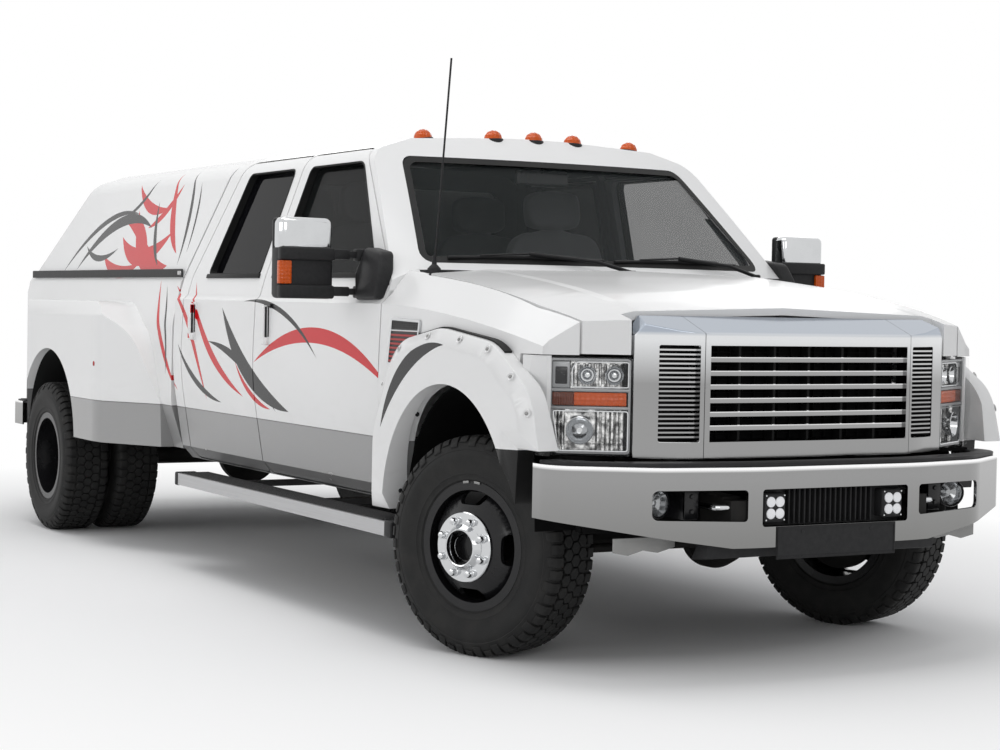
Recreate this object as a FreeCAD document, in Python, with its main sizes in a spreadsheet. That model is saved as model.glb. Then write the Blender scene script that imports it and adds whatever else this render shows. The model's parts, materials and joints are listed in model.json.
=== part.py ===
# Crew-cab heavy-duty pickup with twin rear wheels and a canopy over its load bed.
# Lengths are in millimetres. The shapes are drawn from the ground point under the front axle:
# x runs forward, y to the vehicle's left and z up. Each finished piece is then moved along x,
# so that the middle of the overall length lies at x = 0.
import FreeCAD, Part
import math
import os
import re
import Sketcher
from types import SimpleNamespace
from FreeCAD import Placement, Rotation, Vector

os.makedirs("parts", exist_ok=True)
doc = FreeCAD.newDocument("Pickup")
sheet = doc.addObject("Spreadsheet::Sheet", "Sizes")

SIZES = {
    # overall
    "wheelbase": 4379,
    "front_overhang": 965,
    "rear_overhang": 1286,
    "steer_angle": 20,
    # wheels and tyres
    "tyre_radius": 402,
    "tyre_width": 248,
    "tread_width": 200,
    "tyre_flats": 60,
    "sidewall_radius": 330,
    "bead_radius": 222,
    "bead_half_width": 95,
    "rim_flange_radius": 236,
    "rim_edge": 107,
    "rim_lip": 100,
    "rim_seat_radius": 221.7,
    "rim_drop_radius": 211,
    "rim_step": 45,
    "rim_well_radius": 205,
    "disc_offset": 136,
    "disc_thickness": 10,
    "disc_foot": 58,
    "disc_knee": 108,
    "disc_knee_radius": 172,
    "disc_crown_radius": 128,
    "hand_hole_radius": 22,
    "hand_hole_length": 112,
    "hand_hole_circle": 174,
    "hand_hole_count": 4,
    "hub_radius": 78,
    "twin_hub_start": 820,
    "twin_hub_end": 1090,
    "front_track": 1737,
    "rear_track": 1880,
    "dual_spacing": 280,
    # steering
    "kingpin_spread": 1500,
    "kingpin_radius": 20,
    "kingpin_height": 170,
    "steer_arm": 150,
    "steer_arm_drop": 60,
    "tie_rod_radius": 17,
    "brake_radius": 175,
    # axles and frame
    "axle_tube_radius": 46,
    "axle_end_radius": 50,
    "axle_end": 898,
    "diff_radius": 150,
    "front_diff_side": 215,
    "rail_spread": 860,
    "rail_width": 75,
    "rail_height": 165,
    "rail_bottom": 455,
    "rail_rise": 150,
    "rail_wall": 12,
    "shaft_radius": 45,
    "spring_radius": 55,
    "spring_side": 500,
    "tank_front": -2150,
    "tank_rear": -3550,
    "tank_inner": 475,
    "tank_outer": 770,
    "tank_low": 440,
    "tank_high": 622,
    # body side
    "sill_bottom": 500,
    "sill_half_width": 905,
    "rocker_top": 560,
    "rocker_half_width": 957,
    "side_bulge": 1018,
    "side_bulge_height": 930,
    "shoulder_drop": 111,
    "shoulder_half_width": 1005,
    "step_drop": 22,
    "belt_height": 1385,
    "belt_half_width": 957,
    "roof_side_height": 1915,
    "roof_side_half_width": 796,
    "roof_height": 2000,
    "side_wall": 112,
    "frame_wall": 66,
    "roof_wall": 38,
    "floor_height": 660,
    "floor_thickness": 30,
    "tunnel_half_width": 250,
    "tunnel_height": 860,
    "tunnel_rear": -1500,
    "skin": 22,
    "rebate": 30,
    "door_gap": 8,
    "door_inset": 28,
    "pillar_lap": 16,
    # door lines
    "door_front": -615,
    "pillar_b": -1884,
    "pillar_b_lean": 75,
    "door_rear": -2785,
    "door_rear_lean": 270,
    "door_bottom": 512,
    "door_top": 1922,
    "cab_rear": -2900,
    "cab_rear_lean": 270,
    "cab_rear_wall": 55,
    "windscreen_foot": -440,
    "windscreen_foot_side": -612,
    "windscreen_foot_half": 869,
    "windscreen_foot_height": 1410,
    "windscreen_head": -1075,
    "windscreen_head_side": -1140,
    "windscreen_head_half": 700,
    "windscreen_head_height": 1925,
    "glass": 6,
    "seal": 0.3,
    "running": 0.05,
    "window_rise": 7,
    "window_head": 1870,
    # nose
    "nose_wall": 26,
    "lamp_low": 769,
    "lamp_high": 1108,
    "lamp_inner": 694,
    "lamp_depth": 90,
    "lamp_gap": 5,
    "grille_low": 763,
    "grille_opening_low": 822,
    "grille_opening_high": 1152,
    "grille_opening_half": 435,
    "grille_side_inner": 470,
    "grille_side_outer": 607,
    "bar_count": 6,
    "bar_height": 17,
    "bar_depth": 26,
    "bar_face": 804,
    "bar_side_face": 792,
    "post_rear": 745,
    "post_front": 785,
    "post_width": 10,
    "post_count": 5,
    "post_pitch": 150,
    "fin_count": 20,
    "fin_height": 6,
    "fin_depth": 34,
    "fin_face": 768,
    "fin_sweep": 27,
    "fin_back": 25,
    "fin_margin": 7,
    # front bumper
    "bumper_low": 470,
    "bumper_high": 745,
    "bumper_wall": 14,
    "bumper_flange": 90,
    "bumper_half_width": 1002,
    # arches and flares
    "front_arch_radius": 492,
    "flare_half_width": 1066,
    "flare_rise": 34,
    "flare_slope": 62,
    # bed and canopy
    "bed_front": -2932,
    "bed_overhang": 1121,
    "bed_floor": 860,
    "bed_floor_thickness": 30,
    "bed_wall": 70,
    "bed_rail": 1380,
    "bed_rear_half_width": 978,
    "bed_half_width": 1000,
    "bulge_half_width": 1210,
    "bulge_top": 1255,
    "rear_arch_radius": 480,
    "canopy_head": 1975,
    "canopy_wall": 25,
    "canopy_foot_half": 960,
    "canopy_head_half": 800,
    "canopy_gap": 18,
    "canopy_front_lean": 270,
    "canopy_rear_lean": 720,
    "canopy_inset": 60,
    "handle_inset": 115,
    "handle_width": 70,
    "trim_height": 42,
    "trim_reach": 8,
    "tailgate_wall": 60,
    "tailgate_gap": 7,
    "tailgate_low": 700,
    "gate_pin_inset": 15,
    "gate_pin_radius": 8,
    # running boards and lamps
    "board_reach": 1080,
    "board_width": 165,
    "board_height": 55,
    "board_low": 392,
    "board_front": -344,
    "board_rear": -2660,
    "roof_lamp_radius": 38,
    "roof_lamp_height": 30,
    "antenna_radius": 4,
    "antenna_tip": 2225,
    "plate_width": 520,
    "plate_height": 112,
    "plate_low": 428,
    "plate_hole_height": 92,
    "plate_thickness": 3,
    "plate_hole_radius": 3.5,
    "plate_hole_spacing": 300,
    "ball_hole_radius": 12.7,
    "ball_plate": 10,
}

for row, (alias, value) in enumerate(SIZES.items(), start=1):
    sheet.set(f"A{row}", alias)
    sheet.set(f"B{row}", str(value))
    sheet.setAlias(f"B{row}", alias)
doc.recompute()

size = SimpleNamespace(**{alias: sheet.get(alias) for alias in SIZES})
half_length = (size.wheelbase + size.front_overhang + size.rear_overhang) / 2
front_axle = half_length - size.front_overhang
rear_axle = -size.wheelbase
bed_rear = rear_axle - size.bed_overhang
window_foot = size.belt_height + size.window_rise
shoulder_height = size.belt_height - size.shoulder_drop
X_AXIS = Vector(1, 0, 0)
Y_AXIS = Vector(0, 1, 0)
Z_AXIS = Vector(0, 0, 1)
TO_SPACE = {
    "xz": lambda across, up, level: Vector(across, level, up),
    "yz": lambda across, up, level: Vector(level, across, up),
    "xy": lambda across, up, level: Vector(across, up, level),
}
NORMAL = {"xz": Y_AXIS, "yz": X_AXIS, "xy": Z_AXIS}
pieces = []


def outline(plane, points, level=0):
    """Closed wire through points in a plane; a third number rounds that corner."""
    place = TO_SPACE[plane]
    stops = []
    for number, point in enumerate(points):
        corner = Vector(point[0], point[1], 0)
        radius = point[2] if len(point) > 2 else 0
        if not radius:
            stops.append((corner, None, corner))
            continue
        before = Vector(*points[number - 1][:2], 0) - corner
        after = Vector(*points[(number + 1) % len(points)][:2], 0) - corner
        before.normalize()
        after.normalize()
        half = before.getAngle(after) / 2
        reach = radius / math.tan(half)
        middle = before + after
        middle.normalize()
        crown = corner + middle * (radius / math.sin(half) - radius)
        stops.append((corner + before * reach, crown, corner + after * reach))
    edges = []
    for number, (start, crown, end) in enumerate(stops):
        arrive = stops[number - 1][2]
        if arrive.distanceToPoint(start) > 0.01:
            edges.append(Part.makeLine(place(*arrive[:2], level), place(*start[:2], level)))
        if crown:
            ends = [place(*spot[:2], level) for spot in (start, crown, end)]
            edges.append(Part.Arc(*ends).toShape())
    return Part.Wire(edges)


def prism(plane, points, low, high):
    """Solid with an outline in one plane and straight sides from low to high."""
    return Part.Face(outline(plane, points, low)).extrude(NORMAL[plane] * (high - low))


def block(low, high):
    """Box between two corners."""
    return Part.makeBox(*(high[i] - low[i] for i in range(3)), Vector(*low))


def rod(start, end, radius):
    """Round bar between two points."""
    start = Vector(*start)
    run = Vector(*end) - start
    return Part.makeCylinder(radius, run.Length, start, run)


def mirrored(points):
    """Points of a half outline, then the same points on the other side of the middle."""
    return points + [(-point[0], *point[1:]) for point in reversed(points) if point[0]]


def other_side(shape):
    """The shape's mirror image on the vehicle's right."""
    return shape.mirror(Vector(0, 0, 0), Y_AXIS)


def both_sides(shape):
    """The shape and its mirror image, apart."""
    return Part.makeCompound([shape, other_side(shape)])


def join(shapes):
    """One shape of several that touch or overlap."""
    return shapes[0].multiFuse(shapes[1:]).removeSplitter()


def revolve(points, centre):
    """Ring about the y axis through centre, from points of (radius, y)."""
    corners = [Vector(0, point[1], point[0]) for point in points]
    face = Part.Face(Part.makePolygon(corners + corners[:1]))
    ring = face.revolve(Vector(0, 0, 0), Y_AXIS, 360)
    ring.translate(Vector(*centre))
    return ring


def settle(piece, turn=None, steer=None):
    """List a finished piece and put it in its place; a steered one is turned about its kingpin."""
    turn = Placement() if turn is None else turn
    if steer is not None:
        kingpin = Vector(0, steer * size.kingpin_spread / 2, 0)
        turn = Placement(Vector(0, 0, 0), Rotation(Z_AXIS, size.steer_angle), kingpin).multiply(turn)
    piece.Placement = Placement(Vector(front_axle, 0, 0), Rotation()).multiply(turn)
    pieces.append(piece)
    return piece


def add(label, shape, steer=None):
    """Put a finished shape in the document as a piece."""
    piece = doc.addObject("Part::Feature", label)
    piece.Shape = shape
    return settle(piece, shape.Placement, steer)


def bound(formula):
    """A formula in size names, as the sheet reads it."""
    return re.sub(r"[a-z]\w+", lambda word: f"Sizes.{word.group()}", str(formula))


def measure(formula):
    """Value of a formula in size names."""
    return float(sheet.evalExpression(bound(formula)))


def primitive(kind, label, spot=(0, 0, 0), axis=None, **lengths):
    """Plain solid whose lengths and place are formulas in size names."""
    item = doc.addObject(f"Part::{kind}", label)
    for name, formula in lengths.items():
        item.setExpression(name, bound(formula))
    if axis:
        item.Placement = Placement(Vector(0, 0, 0), Rotation(Z_AXIS, axis))
    for letter, formula in zip("xyz", spot):
        item.setExpression(f"Placement.Base.{letter}", bound(formula))
    return item


def crate(label, low, high):
    """Box between two corners given as formulas."""
    names = ("Length", "Width", "Height")
    sides = {name: f"({high[number]}) - ({low[number]})" for number, name in enumerate(names)}
    return primitive("Box", label, low, **sides)


def combine(kind, label, items):
    """Fusion, cut or loose group of document objects."""
    item = doc.addObject(f"Part::{kind}", label)
    if kind == "Cut":
        item.Base, item.Tool = items
    elif kind == "Compound":
        item.Links = items
    else:
        item.Shapes = items
    return item


def sketch_on(body, label, role):
    """Empty sketch on one of a body's own planes."""
    sketch = body.newObject("Sketcher::SketchObject", label)
    plane = next(item for item in body.Origin.OriginFeatures if item.Role == role)
    sketch.AttachmentSupport = (plane, [""])
    sketch.MapMode = "FlatFace"
    return sketch


def hold(sketch, kind, formula, *spots):
    """Add a dimension that follows a formula."""
    place = sketch.addConstraint(Sketcher.Constraint(kind, *spots, measure(formula)))
    sketch.setExpression(f"Constraints[{place}]", bound(formula))


def corner_sketch(body, label, role, corners):
    """Closed sketch through corners, each a pair of formulas."""
    sketch = sketch_on(body, label, role)
    spots = [Vector(measure(across), measure(up), 0) for across, up in corners]
    for number, spot in enumerate(spots):
        sketch.addGeometry(Part.LineSegment(spot, spots[(number + 1) % len(spots)]))
    for number in range(len(spots)):
        sketch.addConstraint(Sketcher.Constraint("Coincident", number, 2, (number + 1) % len(spots), 1))
    for number, (across, up) in enumerate(corners):
        hold(sketch, "DistanceX", across, -1, 1, number, 1)
        hold(sketch, "DistanceY", up, -1, 1, number, 1)
    return sketch


def feature(body, kind, label, sketch, **settings):
    """Feature of a body made from a sketch; a setting given as text is a formula."""
    item = body.newObject(f"PartDesign::{kind}", label)
    item.Profile = sketch
    for name, setting in settings.items():
        if isinstance(setting, str) and name in ("Length", "Angle"):
            item.setExpression(name, bound(setting))
        else:
            setattr(item, name, setting)
    return item


def repeat(body, kind, label, original, axis, count, span):
    """Pattern of a body's feature round or along one of its own axes."""
    item = body.newObject(f"PartDesign::{kind}", label)
    item.Originals = [original]
    line = next(piece for piece in body.Origin.OriginFeatures if piece.Role == axis)
    if kind == "PolarPattern":
        item.Axis = (line, [""])
        item.Angle = span
    else:
        item.Direction = (line, [""])
        item.setExpression("Length", bound(span))
    item.setExpression("Occurrences", bound(count))
    body.Tip = item
    return item


def cab_outline(low_inset=0, high_inset=0, roof_inset=0):
    """Section across the cab, from sill to roof, with its walls set in."""
    crown = size.roof_height - roof_inset
    edge = size.roof_side_height
    left = [
        (size.sill_half_width - low_inset, size.sill_bottom),
        (size.rocker_half_width - low_inset, size.rocker_top),
        (size.side_bulge - low_inset, size.side_bulge_height, 1400),
        (size.shoulder_half_width - low_inset, shoulder_height, 6),
        (size.shoulder_half_width - size.step_drop - low_inset, shoulder_height + size.step_drop),
        (size.belt_half_width - high_inset, size.belt_height),
        (size.roof_side_half_width - high_inset, edge, 120),
        (size.roof_side_half_width - 190, crown - 26),
        (0, crown + 4, 5000),
    ]
    return mirrored(left)


def body_prism(low_inset=0, high_inset=0, roof_inset=0, rear=None, front=0):
    """The cab's section run along the vehicle."""
    rear = size.cab_rear if rear is None else rear
    return prism("yz", cab_outline(low_inset, high_inset, roof_inset), rear, front)


def windscreen_ahead(shift=0):
    """Everything ahead of the curved windscreen, which leans back as it rises."""
    low = 1250
    high = 2080
    half = 1100
    foot = (size.windscreen_foot, size.windscreen_foot_side, size.windscreen_foot_half)
    head = (size.windscreen_head, size.windscreen_head_side, size.windscreen_head_half)
    sweep = []
    for middle, side, width in (foot, head):
        radius = (width ** 2 + (middle - side) ** 2) / (2 * (middle - side))
        sweep.append((middle, middle - radius + math.sqrt(radius ** 2 - half ** 2)))
    wires = []
    span = size.windscreen_head_height - size.windscreen_foot_height
    for level in (low, high):
        share = (level - size.windscreen_foot_height) / span
        middle = sweep[0][0] + share * (sweep[1][0] - sweep[0][0]) + shift
        edge = sweep[0][1] + share * (sweep[1][1] - sweep[0][1]) + shift
        corners = [Vector(edge, -half, level), Vector(middle, 0, level), Vector(edge, half, level)]
        far = [Vector(600, half, level), Vector(600, -half, level)]
        curve = Part.Arc(*corners).toShape()
        sides = Part.makePolygon([corners[2], *far, corners[0]])
        wires.append(Part.Wire([curve, *sides.Edges]))
    return Part.makeLoft(wires, True, True)


def behind_cab(shift=0):
    """Everything behind the cab's rear wall, which leans forward above the belt."""
    rear = size.cab_rear + shift
    top = 2100
    lean = size.cab_rear_lean * (top - size.belt_height) / (1970 - size.belt_height)
    points = [(rear, 0), (rear, size.belt_height), (rear + lean, top), (rear - 600, top), (rear - 600, 0)]
    return prism("xz", points, -1200, 1200)


def door_outlines():
    """Front and rear door lines seen from the side."""
    belt = size.belt_height
    front = [
        (size.door_front, size.door_bottom, 40),
        (size.pillar_b, size.door_bottom, 30),
        (size.pillar_b, belt),
        (size.pillar_b + size.pillar_b_lean, size.door_top, 30),
        (-1215, size.door_top, 60),
        (size.door_front - 40, belt + 10, 60),
        (size.door_front, belt - 60),
    ]
    start = size.pillar_b - size.door_gap
    rear = [
        (start, size.door_bottom, 30),
        (size.door_rear, size.door_bottom, 30),
        (size.door_rear, belt),
        (size.door_rear + size.door_rear_lean, size.door_top, 60),
        (start + size.pillar_b_lean, size.door_top, 30),
        (start, belt),
    ]
    return {"front": front, "rear": rear}


def window_outlines():
    """Front and rear door windows seen from the side."""
    foot = window_foot
    head = size.window_head
    front = [(-760, foot, 20), (-1800, foot, 30), (-1728, head, 60), (-1195, head, 90)]
    rear = [(-1957, foot, 15), (-2590, foot, 30), (-2425, head, 45), (-1895, head, 36)]
    return {"front": front, "rear": rear}


def side_region(points, grow, low=0, high=1300):
    """A side view outline grown evenly and run through the left side of the body."""
    face = Part.Face(outline("xz", points, low))
    if grow:
        face = face.makeOffset2D(grow, 0, False, False, True)
    return face.extrude(Y_AXIS * (high - low))


def make_cab():
    """Cab shell with floor, pillars, roof and rear wall, and its four doors with their glass."""
    ahead = windscreen_ahead()
    nose = block((size.door_front + size.door_gap, -1200, 0), (700, 1200, size.windscreen_foot_height))
    outer = body_prism().cut(ahead).cut(nose).cut(behind_cab())
    firewall = block((size.door_front - 25, -1200, 0), (700, 1200, size.windscreen_foot_height))
    room = body_prism(size.side_wall, size.frame_wall, size.roof_wall, size.cab_rear)
    room = room.cut(windscreen_ahead(-42)).cut(firewall).cut(behind_cab(size.cab_rear_wall))
    tunnel = (size.tunnel_half_width, size.tunnel_height, size.tunnel_rear)
    room = room.cut(block((-4000, -1200, 0), (700, 1200, size.floor_height)))
    room = room.cut(block((tunnel[2], -tunnel[0], 0), (700, tunnel[0], tunnel[1])))
    shell = outer.cut(room)
    shell = shell.cut(block((-4000, -780, 0), (700, 780, size.floor_height - size.floor_thickness)))
    gauge = size.floor_thickness
    shell = shell.cut(block((tunnel[2] + gauge, gauge - tunnel[0], 0), (700, tunnel[0] - gauge, tunnel[1] - gauge)))
    deep = body_prism(size.rebate, size.rebate, size.rebate)
    under = block((-4000, -1200, 0), (700, 1200, size.floor_height))
    sill = body_prism(size.side_wall + size.door_gap, size.side_wall, size.side_wall).common(under)
    outlines = door_outlines()
    windows = window_outlines()
    skin_core = body_prism(size.skin, size.skin, size.skin)
    wall = body_prism().cut(body_prism(size.side_wall, size.frame_wall, size.roof_wall, -3000, 100))
    wall = wall.cut(windscreen_ahead())
    for place in ("front", "rear"):
        lid = side_region(outlines[place], size.door_gap).cut(deep)
        hole = side_region(outlines[place], -size.pillar_lap, 500)
        hole = hole.cut(block((-4000, 0, 0), (700, 1300, size.door_bottom + 60))).cut(sill)
        for cutter in (lid, hole):
            shell = shell.cut(cutter).cut(other_side(cutter))
        edge = outlines[place][0][0] if place == "rear" else size.door_front
        for level in (size.floor_height + 20, shoulder_height - 150):
            leaf = block((edge - size.pillar_lap - size.door_inset + size.seal, size.side_bulge - 96, level),
                         (edge - size.pillar_lap + 4, size.side_bulge - 45, level + 80))
            leaf = leaf.common(deep)
            shell = shell.fuse(leaf).fuse(other_side(leaf))
        skin = side_region(outlines[place], 0, 500).common(body_prism()).cut(skin_core)
        inner = side_region(outlines[place], -size.pillar_lap - size.door_inset, 500)
        inner = inner.common(wall).cut(block((-4000, 0, 0), (700, 1300, size.door_bottom + 90)))
        door = skin.fuse(inner)
        pane = side_region(windows[place], 0, 500)
        door = door.cut(pane)
        handle_x = (size.pillar_b if place == "front" else size.door_rear) + size.handle_inset
        door = door.fuse(door_handle(handle_x))
        middle = size.frame_wall / 2
        sheet_out = body_prism(middle - size.glass / 2, middle - size.glass / 2, 40)
        sheet_in = body_prism(middle + size.glass / 2, middle + size.glass / 2, 60)
        glass = side_region(windows[place], -size.seal, 500).common(sheet_out).cut(sheet_in)
        for side, name in ((1, "left"), (-1, "right")):
            turn = (lambda shape: shape) if side == 1 else other_side
            add(f"door_{place}_{name}", turn(door))
            add(f"door_glass_{place}_{name}", turn(glass))
    screen = [(size.windscreen_foot_half - 40, 1440, 60), (size.windscreen_head_half - 12, 1893, 60)]
    pane = prism("yz", mirrored(screen), -1400, -300)
    shell = shell.cut(pane)
    small = [(size.windscreen_foot_half - 40 - size.seal, 1440 + size.seal, 60),
             (size.windscreen_head_half - 12 - size.seal, 1893 - size.seal, 60)]
    glass = prism("yz", mirrored(small), -1400, -300).cut(windscreen_ahead(-12))
    glass = glass.common(windscreen_ahead(-12 - 2 * size.glass))
    rear = [(700, 1440, 60), (640, 1850, 60)]
    back = prism("yz", mirrored(rear), size.cab_rear - 10, size.cab_rear + 500)
    shell = shell.cut(back.common(behind_cab(size.cab_rear_wall + 40)))
    small = [(700 - size.seal, 1440 + size.seal, 60), (640 - size.seal, 1850 - size.seal, 60)]
    back_glass = prism("yz", mirrored(small), size.cab_rear - 10, size.cab_rear + 500)
    back_glass = back_glass.common(behind_cab(22)).cut(behind_cab(22 - 2 * size.glass))
    shell = shell.removeSplitter()
    add("cab_shell", shell)
    add("screens", Part.makeCompound([glass, back_glass]))
    return shell


def door_handle(rear_x):
    """Upright pull handle with its raised frame, on the left side."""
    low = 1078
    high = 1262
    skin = size.side_bulge - 12
    frame = block((rear_x, skin - 14, low), (rear_x + size.handle_width, skin + 8, high))
    grip = block((rear_x + 14, skin + 8, low + 12), (rear_x + size.handle_width - 24, skin + 26, high - 12))
    return frame.fuse(grip)


def nose_half(inset=0):
    """Left half of the bonnet and wings as one smooth body, before it is split into panels."""
    stations = (
        (-640, (905, 957, 1018, 1005, 966, 893, 640), (500, 560, 930, 1274, 1312, 1408, 1432), 1442),
        (-60, (905, 955, 1010, 1000, 962, 886, 650), (500, 560, 930, 1240, 1275, 1352, 1380), 1398),
        (360, (900, 948, 992, 978, 946, 872, 650), (500, 560, 930, 1180, 1212, 1285, 1322), 1342),
        (900, (850, 895, 930, 900, 870, 780, 640), (500, 560, 930, 1050, 1075, 1150, 1190), 1210),
    )
    wires = []
    for x, across, up, crown in stations:
        low = up[0] - 200 if inset else up[0]
        corners = [Vector(x, 0, low)]
        corners.append(Vector(x, across[0] - inset, low))
        for y, z in zip(across[1:], up[1:]):
            corners.append(Vector(x, y - inset, z - (inset if z > up[3] else 0)))
        corners.append(Vector(x, 0, crown - inset))
        wires.append(Part.makePolygon(corners + corners[:1]))
    return Part.makeLoft(wires, True, False)


def nose_plan(shrink=0):
    """Plan outline of the nose, from the flat sides round the lamps to the grille."""
    left = [(-700, 1150), (530, 1150), (556 - shrink, 938), (706 - shrink, 690), (778 - shrink, 540)]
    points = left + [(806 - shrink, 380), (815 - shrink, 0)]
    return points + [(x, -y) for x, y in reversed(left + [(806 - shrink, 380)])]


def hood_plan(grow=0):
    """Plan outline of the bonnet: it follows the windscreen's foot and narrows to the grille."""
    side = [(-455 - grow, 884 + grow, 30), (380, 872 + grow, 300), (760, 818 + grow), (760, 696), (632 + grow, 696)]
    front = [(632 + grow, 0)]
    rear = [(-345 - grow, 0, 3000)]
    right = [(point[0], -point[1], *point[2:]) for point in reversed(side)]
    return rear + side + front + right


def make_nose(cab):
    """Bonnet, wings, head lamps and inner wheel houses."""
    left = nose_half()
    plan = prism("xy", nose_plan(), 300, 1600)
    core = nose_half(size.nose_wall).common(prism("xy", nose_plan(size.nose_wall), 200, 1600))
    shell = left.common(plan).cut(core)
    hood = shell.common(prism("xy", hood_plan(), 1000, 1600))
    hood = hood.common(block((-700, 0, size.lamp_high + size.lamp_gap + 4), (1000, 1000, 1600)))
    add("hood", hood.fuse(other_side(hood)).removeSplitter())
    wing = shell.common(block((size.door_front + size.door_gap, 600, size.sill_bottom), (720, 1100, 1500)))
    wing = wing.cut(prism("xy", hood_plan(size.door_gap), 1000, 1600))
    wing = wing.cut(windscreen_ahead().common(block((-700, 0, 1300), (700, 880, 1600))).common(
        block((-700, 0, 1300), (-440, 880, 1600))))
    opening = rod((30, 700, size.tyre_radius + 100), (30, 1200, size.tyre_radius + 100), size.front_arch_radius)
    opening = opening.fuse(block((30 - size.front_arch_radius, 700, 0),
                                 (30 + size.front_arch_radius + 300, 1200, size.tyre_radius + 100)))
    wing = wing.cut(opening)
    lamp_zone = block((430, size.lamp_inner, size.lamp_low), (900, 1000, size.lamp_high))
    wing = wing.cut(block((430, size.lamp_inner - 60, 0), (900, 1000, size.lamp_high + size.lamp_gap)))
    flange = nose_half(2).common(block((size.door_front + size.door_gap, 905, 530),
                                       (size.door_front + size.door_gap + 20, 1100, 1380)))
    rest = block((-450, 815, 1300), (-400, 890, 1420)).common(nose_half(size.nose_wall + size.seal))
    foot = block((-450, 889.5, 1300), (-400, 940, 1420)).common(nose_half(10))
    wing = join([wing, flange, rest, foot])
    wing = max(wing.cut(cab).Solids, key=lambda solid: solid.Volume)
    add("front_fenders", both_sides(wing))
    top = size.windscreen_foot_height - size.seal
    cowl = block((size.door_front + size.door_gap + size.seal, -846, top - 24), (-300, 846, top))
    cowl = cowl.cut(prism("xy", hood_plan(6), 1000, 1600)).cut(wing).cut(other_side(wing)).cut(cab)
    add("cowl", cowl)
    volume = left.common(plan).common(lamp_zone)
    volume = volume.cut(prism("xy", nose_plan(size.lamp_depth), 300, 1600))
    add("head_lamps", both_sides(volume))


def make_grille():
    """Bright surround with three openings, filled by curved bars and thin fins."""
    plan = [(640, 690), (706, 685), (775, 545), (803, 435), (815, 0)]
    points = plan + [(x, -y) for x, y in reversed(plan[:-1])]
    surround = prism("xy", points, size.grille_low, 1262)
    inner = [(600, 627), (650, 627), (715, 535), (743, 430), (755, 0)]
    surround = surround.cut(prism("xy", inner + [(x, -y) for x, y in reversed(inner[:-1])], 700, 1160))
    slope = [(900, 1150), (806, 1192, 30), (650, 1252), (500, 1256), (500, 1400), (900, 1400)]
    surround = surround.cut(prism("xz", slope, -800, 800))
    shoulder = [(690, 1180), (625, 1262), (800, 1300)]
    surround = surround.cut(prism("yz", shoulder, 500, 900))
    surround = surround.cut(prism("yz", [(-y, z) for y, z in shoulder], 500, 900))
    low = size.grille_opening_low
    high = size.grille_opening_high
    half = size.grille_opening_half
    surround = surround.cut(block((500, -half, low), (900, half, high)))
    for side in (1, -1):
        corners = [(side * size.grille_side_inner, low, 6), (side * size.grille_side_outer, low, 6),
                   (side * size.grille_side_outer, high, 6), (side * size.grille_side_inner, high, 6)]
        surround = surround.cut(prism("yz", corners, 500, 900))
    add("grille_surround", surround)
    make_bars()


def lifted_sketch(body, label, corners, level):
    """Closed level sketch at a height given as a formula."""
    sketch = corner_sketch(body, label, "XY_Plane", corners)
    sketch.setExpression("AttachmentOffset.Base.z", bound(level))
    return sketch


def make_bars():
    """Curved bars on upright posts, and thin fins on back plates, each repeated by a pattern."""
    centre = doc.addObject("PartDesign::Body", "grille_centre")
    tall = "grille_opening_high - grille_opening_low"
    half = "(grille_opening_half - seal)"
    post = [("post_rear", "-post_width / 2"), ("post_front", "-post_width / 2"),
            ("post_front", "post_width / 2"), ("post_rear", "post_width / 2")]
    sketch = lifted_sketch(centre, "middle_post", post, "grille_opening_low + seal")
    feature(centre, "Pad", "middle_post_raised", sketch, Length=f"{tall} - 2 * seal")
    bar = [("bar_side_face", half), ("bar_face", "0"), ("bar_side_face", f"-{half}"),
           ("bar_side_face - bar_depth", f"-{half}"), ("bar_face - bar_depth", "0"),
           ("bar_side_face - bar_depth", half)]
    pitch = f"({tall}) / (bar_count + 1)"
    sketch = lifted_sketch(centre, "bar_plan", bar, f"grille_opening_low + {pitch} - bar_height / 2")
    lowest = feature(centre, "Pad", "lowest_bar", sketch, Length="bar_height")
    doc.recompute()
    repeat(centre, "LinearPattern", "bars", lowest, "Z_Axis", "bar_count", f"{pitch} * (bar_count - 1)")
    doc.recompute()
    edge = "post_pitch * (post_count - 1) / 2"
    post = [(across, f"{along} - {edge}") for across, along in post]
    sketch = lifted_sketch(centre, "end_post", post, "grille_opening_low + seal")
    end = feature(centre, "Pad", "end_post_raised", sketch, Length=f"{tall} - 2 * seal")
    doc.recompute()
    repeat(centre, "LinearPattern", "posts", end, "Y_Axis", "post_count", "post_pitch * (post_count - 1)")
    side = doc.addObject("PartDesign::Body", "grille_side")
    inner = "grille_side_inner + seal"
    outer = "grille_side_outer - seal"
    back = [("fin_face - fin_back", "grille_side_inner + fin_margin"),
            ("fin_face - fin_sweep - fin_back", "grille_side_outer - fin_margin"),
            ("fin_face - fin_sweep - fin_back - 10", "grille_side_outer - fin_margin"),
            ("fin_face - fin_back - 10", "grille_side_inner + fin_margin")]
    sketch = lifted_sketch(side, "fin_plate", back, "grille_opening_low + fin_margin")
    feature(side, "Pad", "fin_plate_raised", sketch, Length=f"{tall} - 2 * fin_margin")
    fin = [("fin_face", inner), ("fin_face - fin_sweep", outer), ("fin_face - fin_sweep - fin_depth", outer),
           ("fin_face - fin_depth", inner)]
    pitch = f"({tall} - 2 * fin_margin) / fin_count"
    sketch = lifted_sketch(side, "fin_plan", fin, f"grille_opening_low + fin_margin + {pitch} / 2 - fin_height / 2")
    lowest = feature(side, "Pad", "lowest_fin", sketch, Length="fin_height")
    doc.recompute()
    repeat(side, "LinearPattern", "fins", lowest, "Z_Axis", "fin_count", f"{pitch} * (fin_count - 1)")
    mirror = doc.addObject("Part::Mirroring", "grille_side_right")
    mirror.Source = side
    mirror.Normal = Y_AXIS
    settle(combine("Compound", "grille_bars", [centre, side, mirror]))


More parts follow.
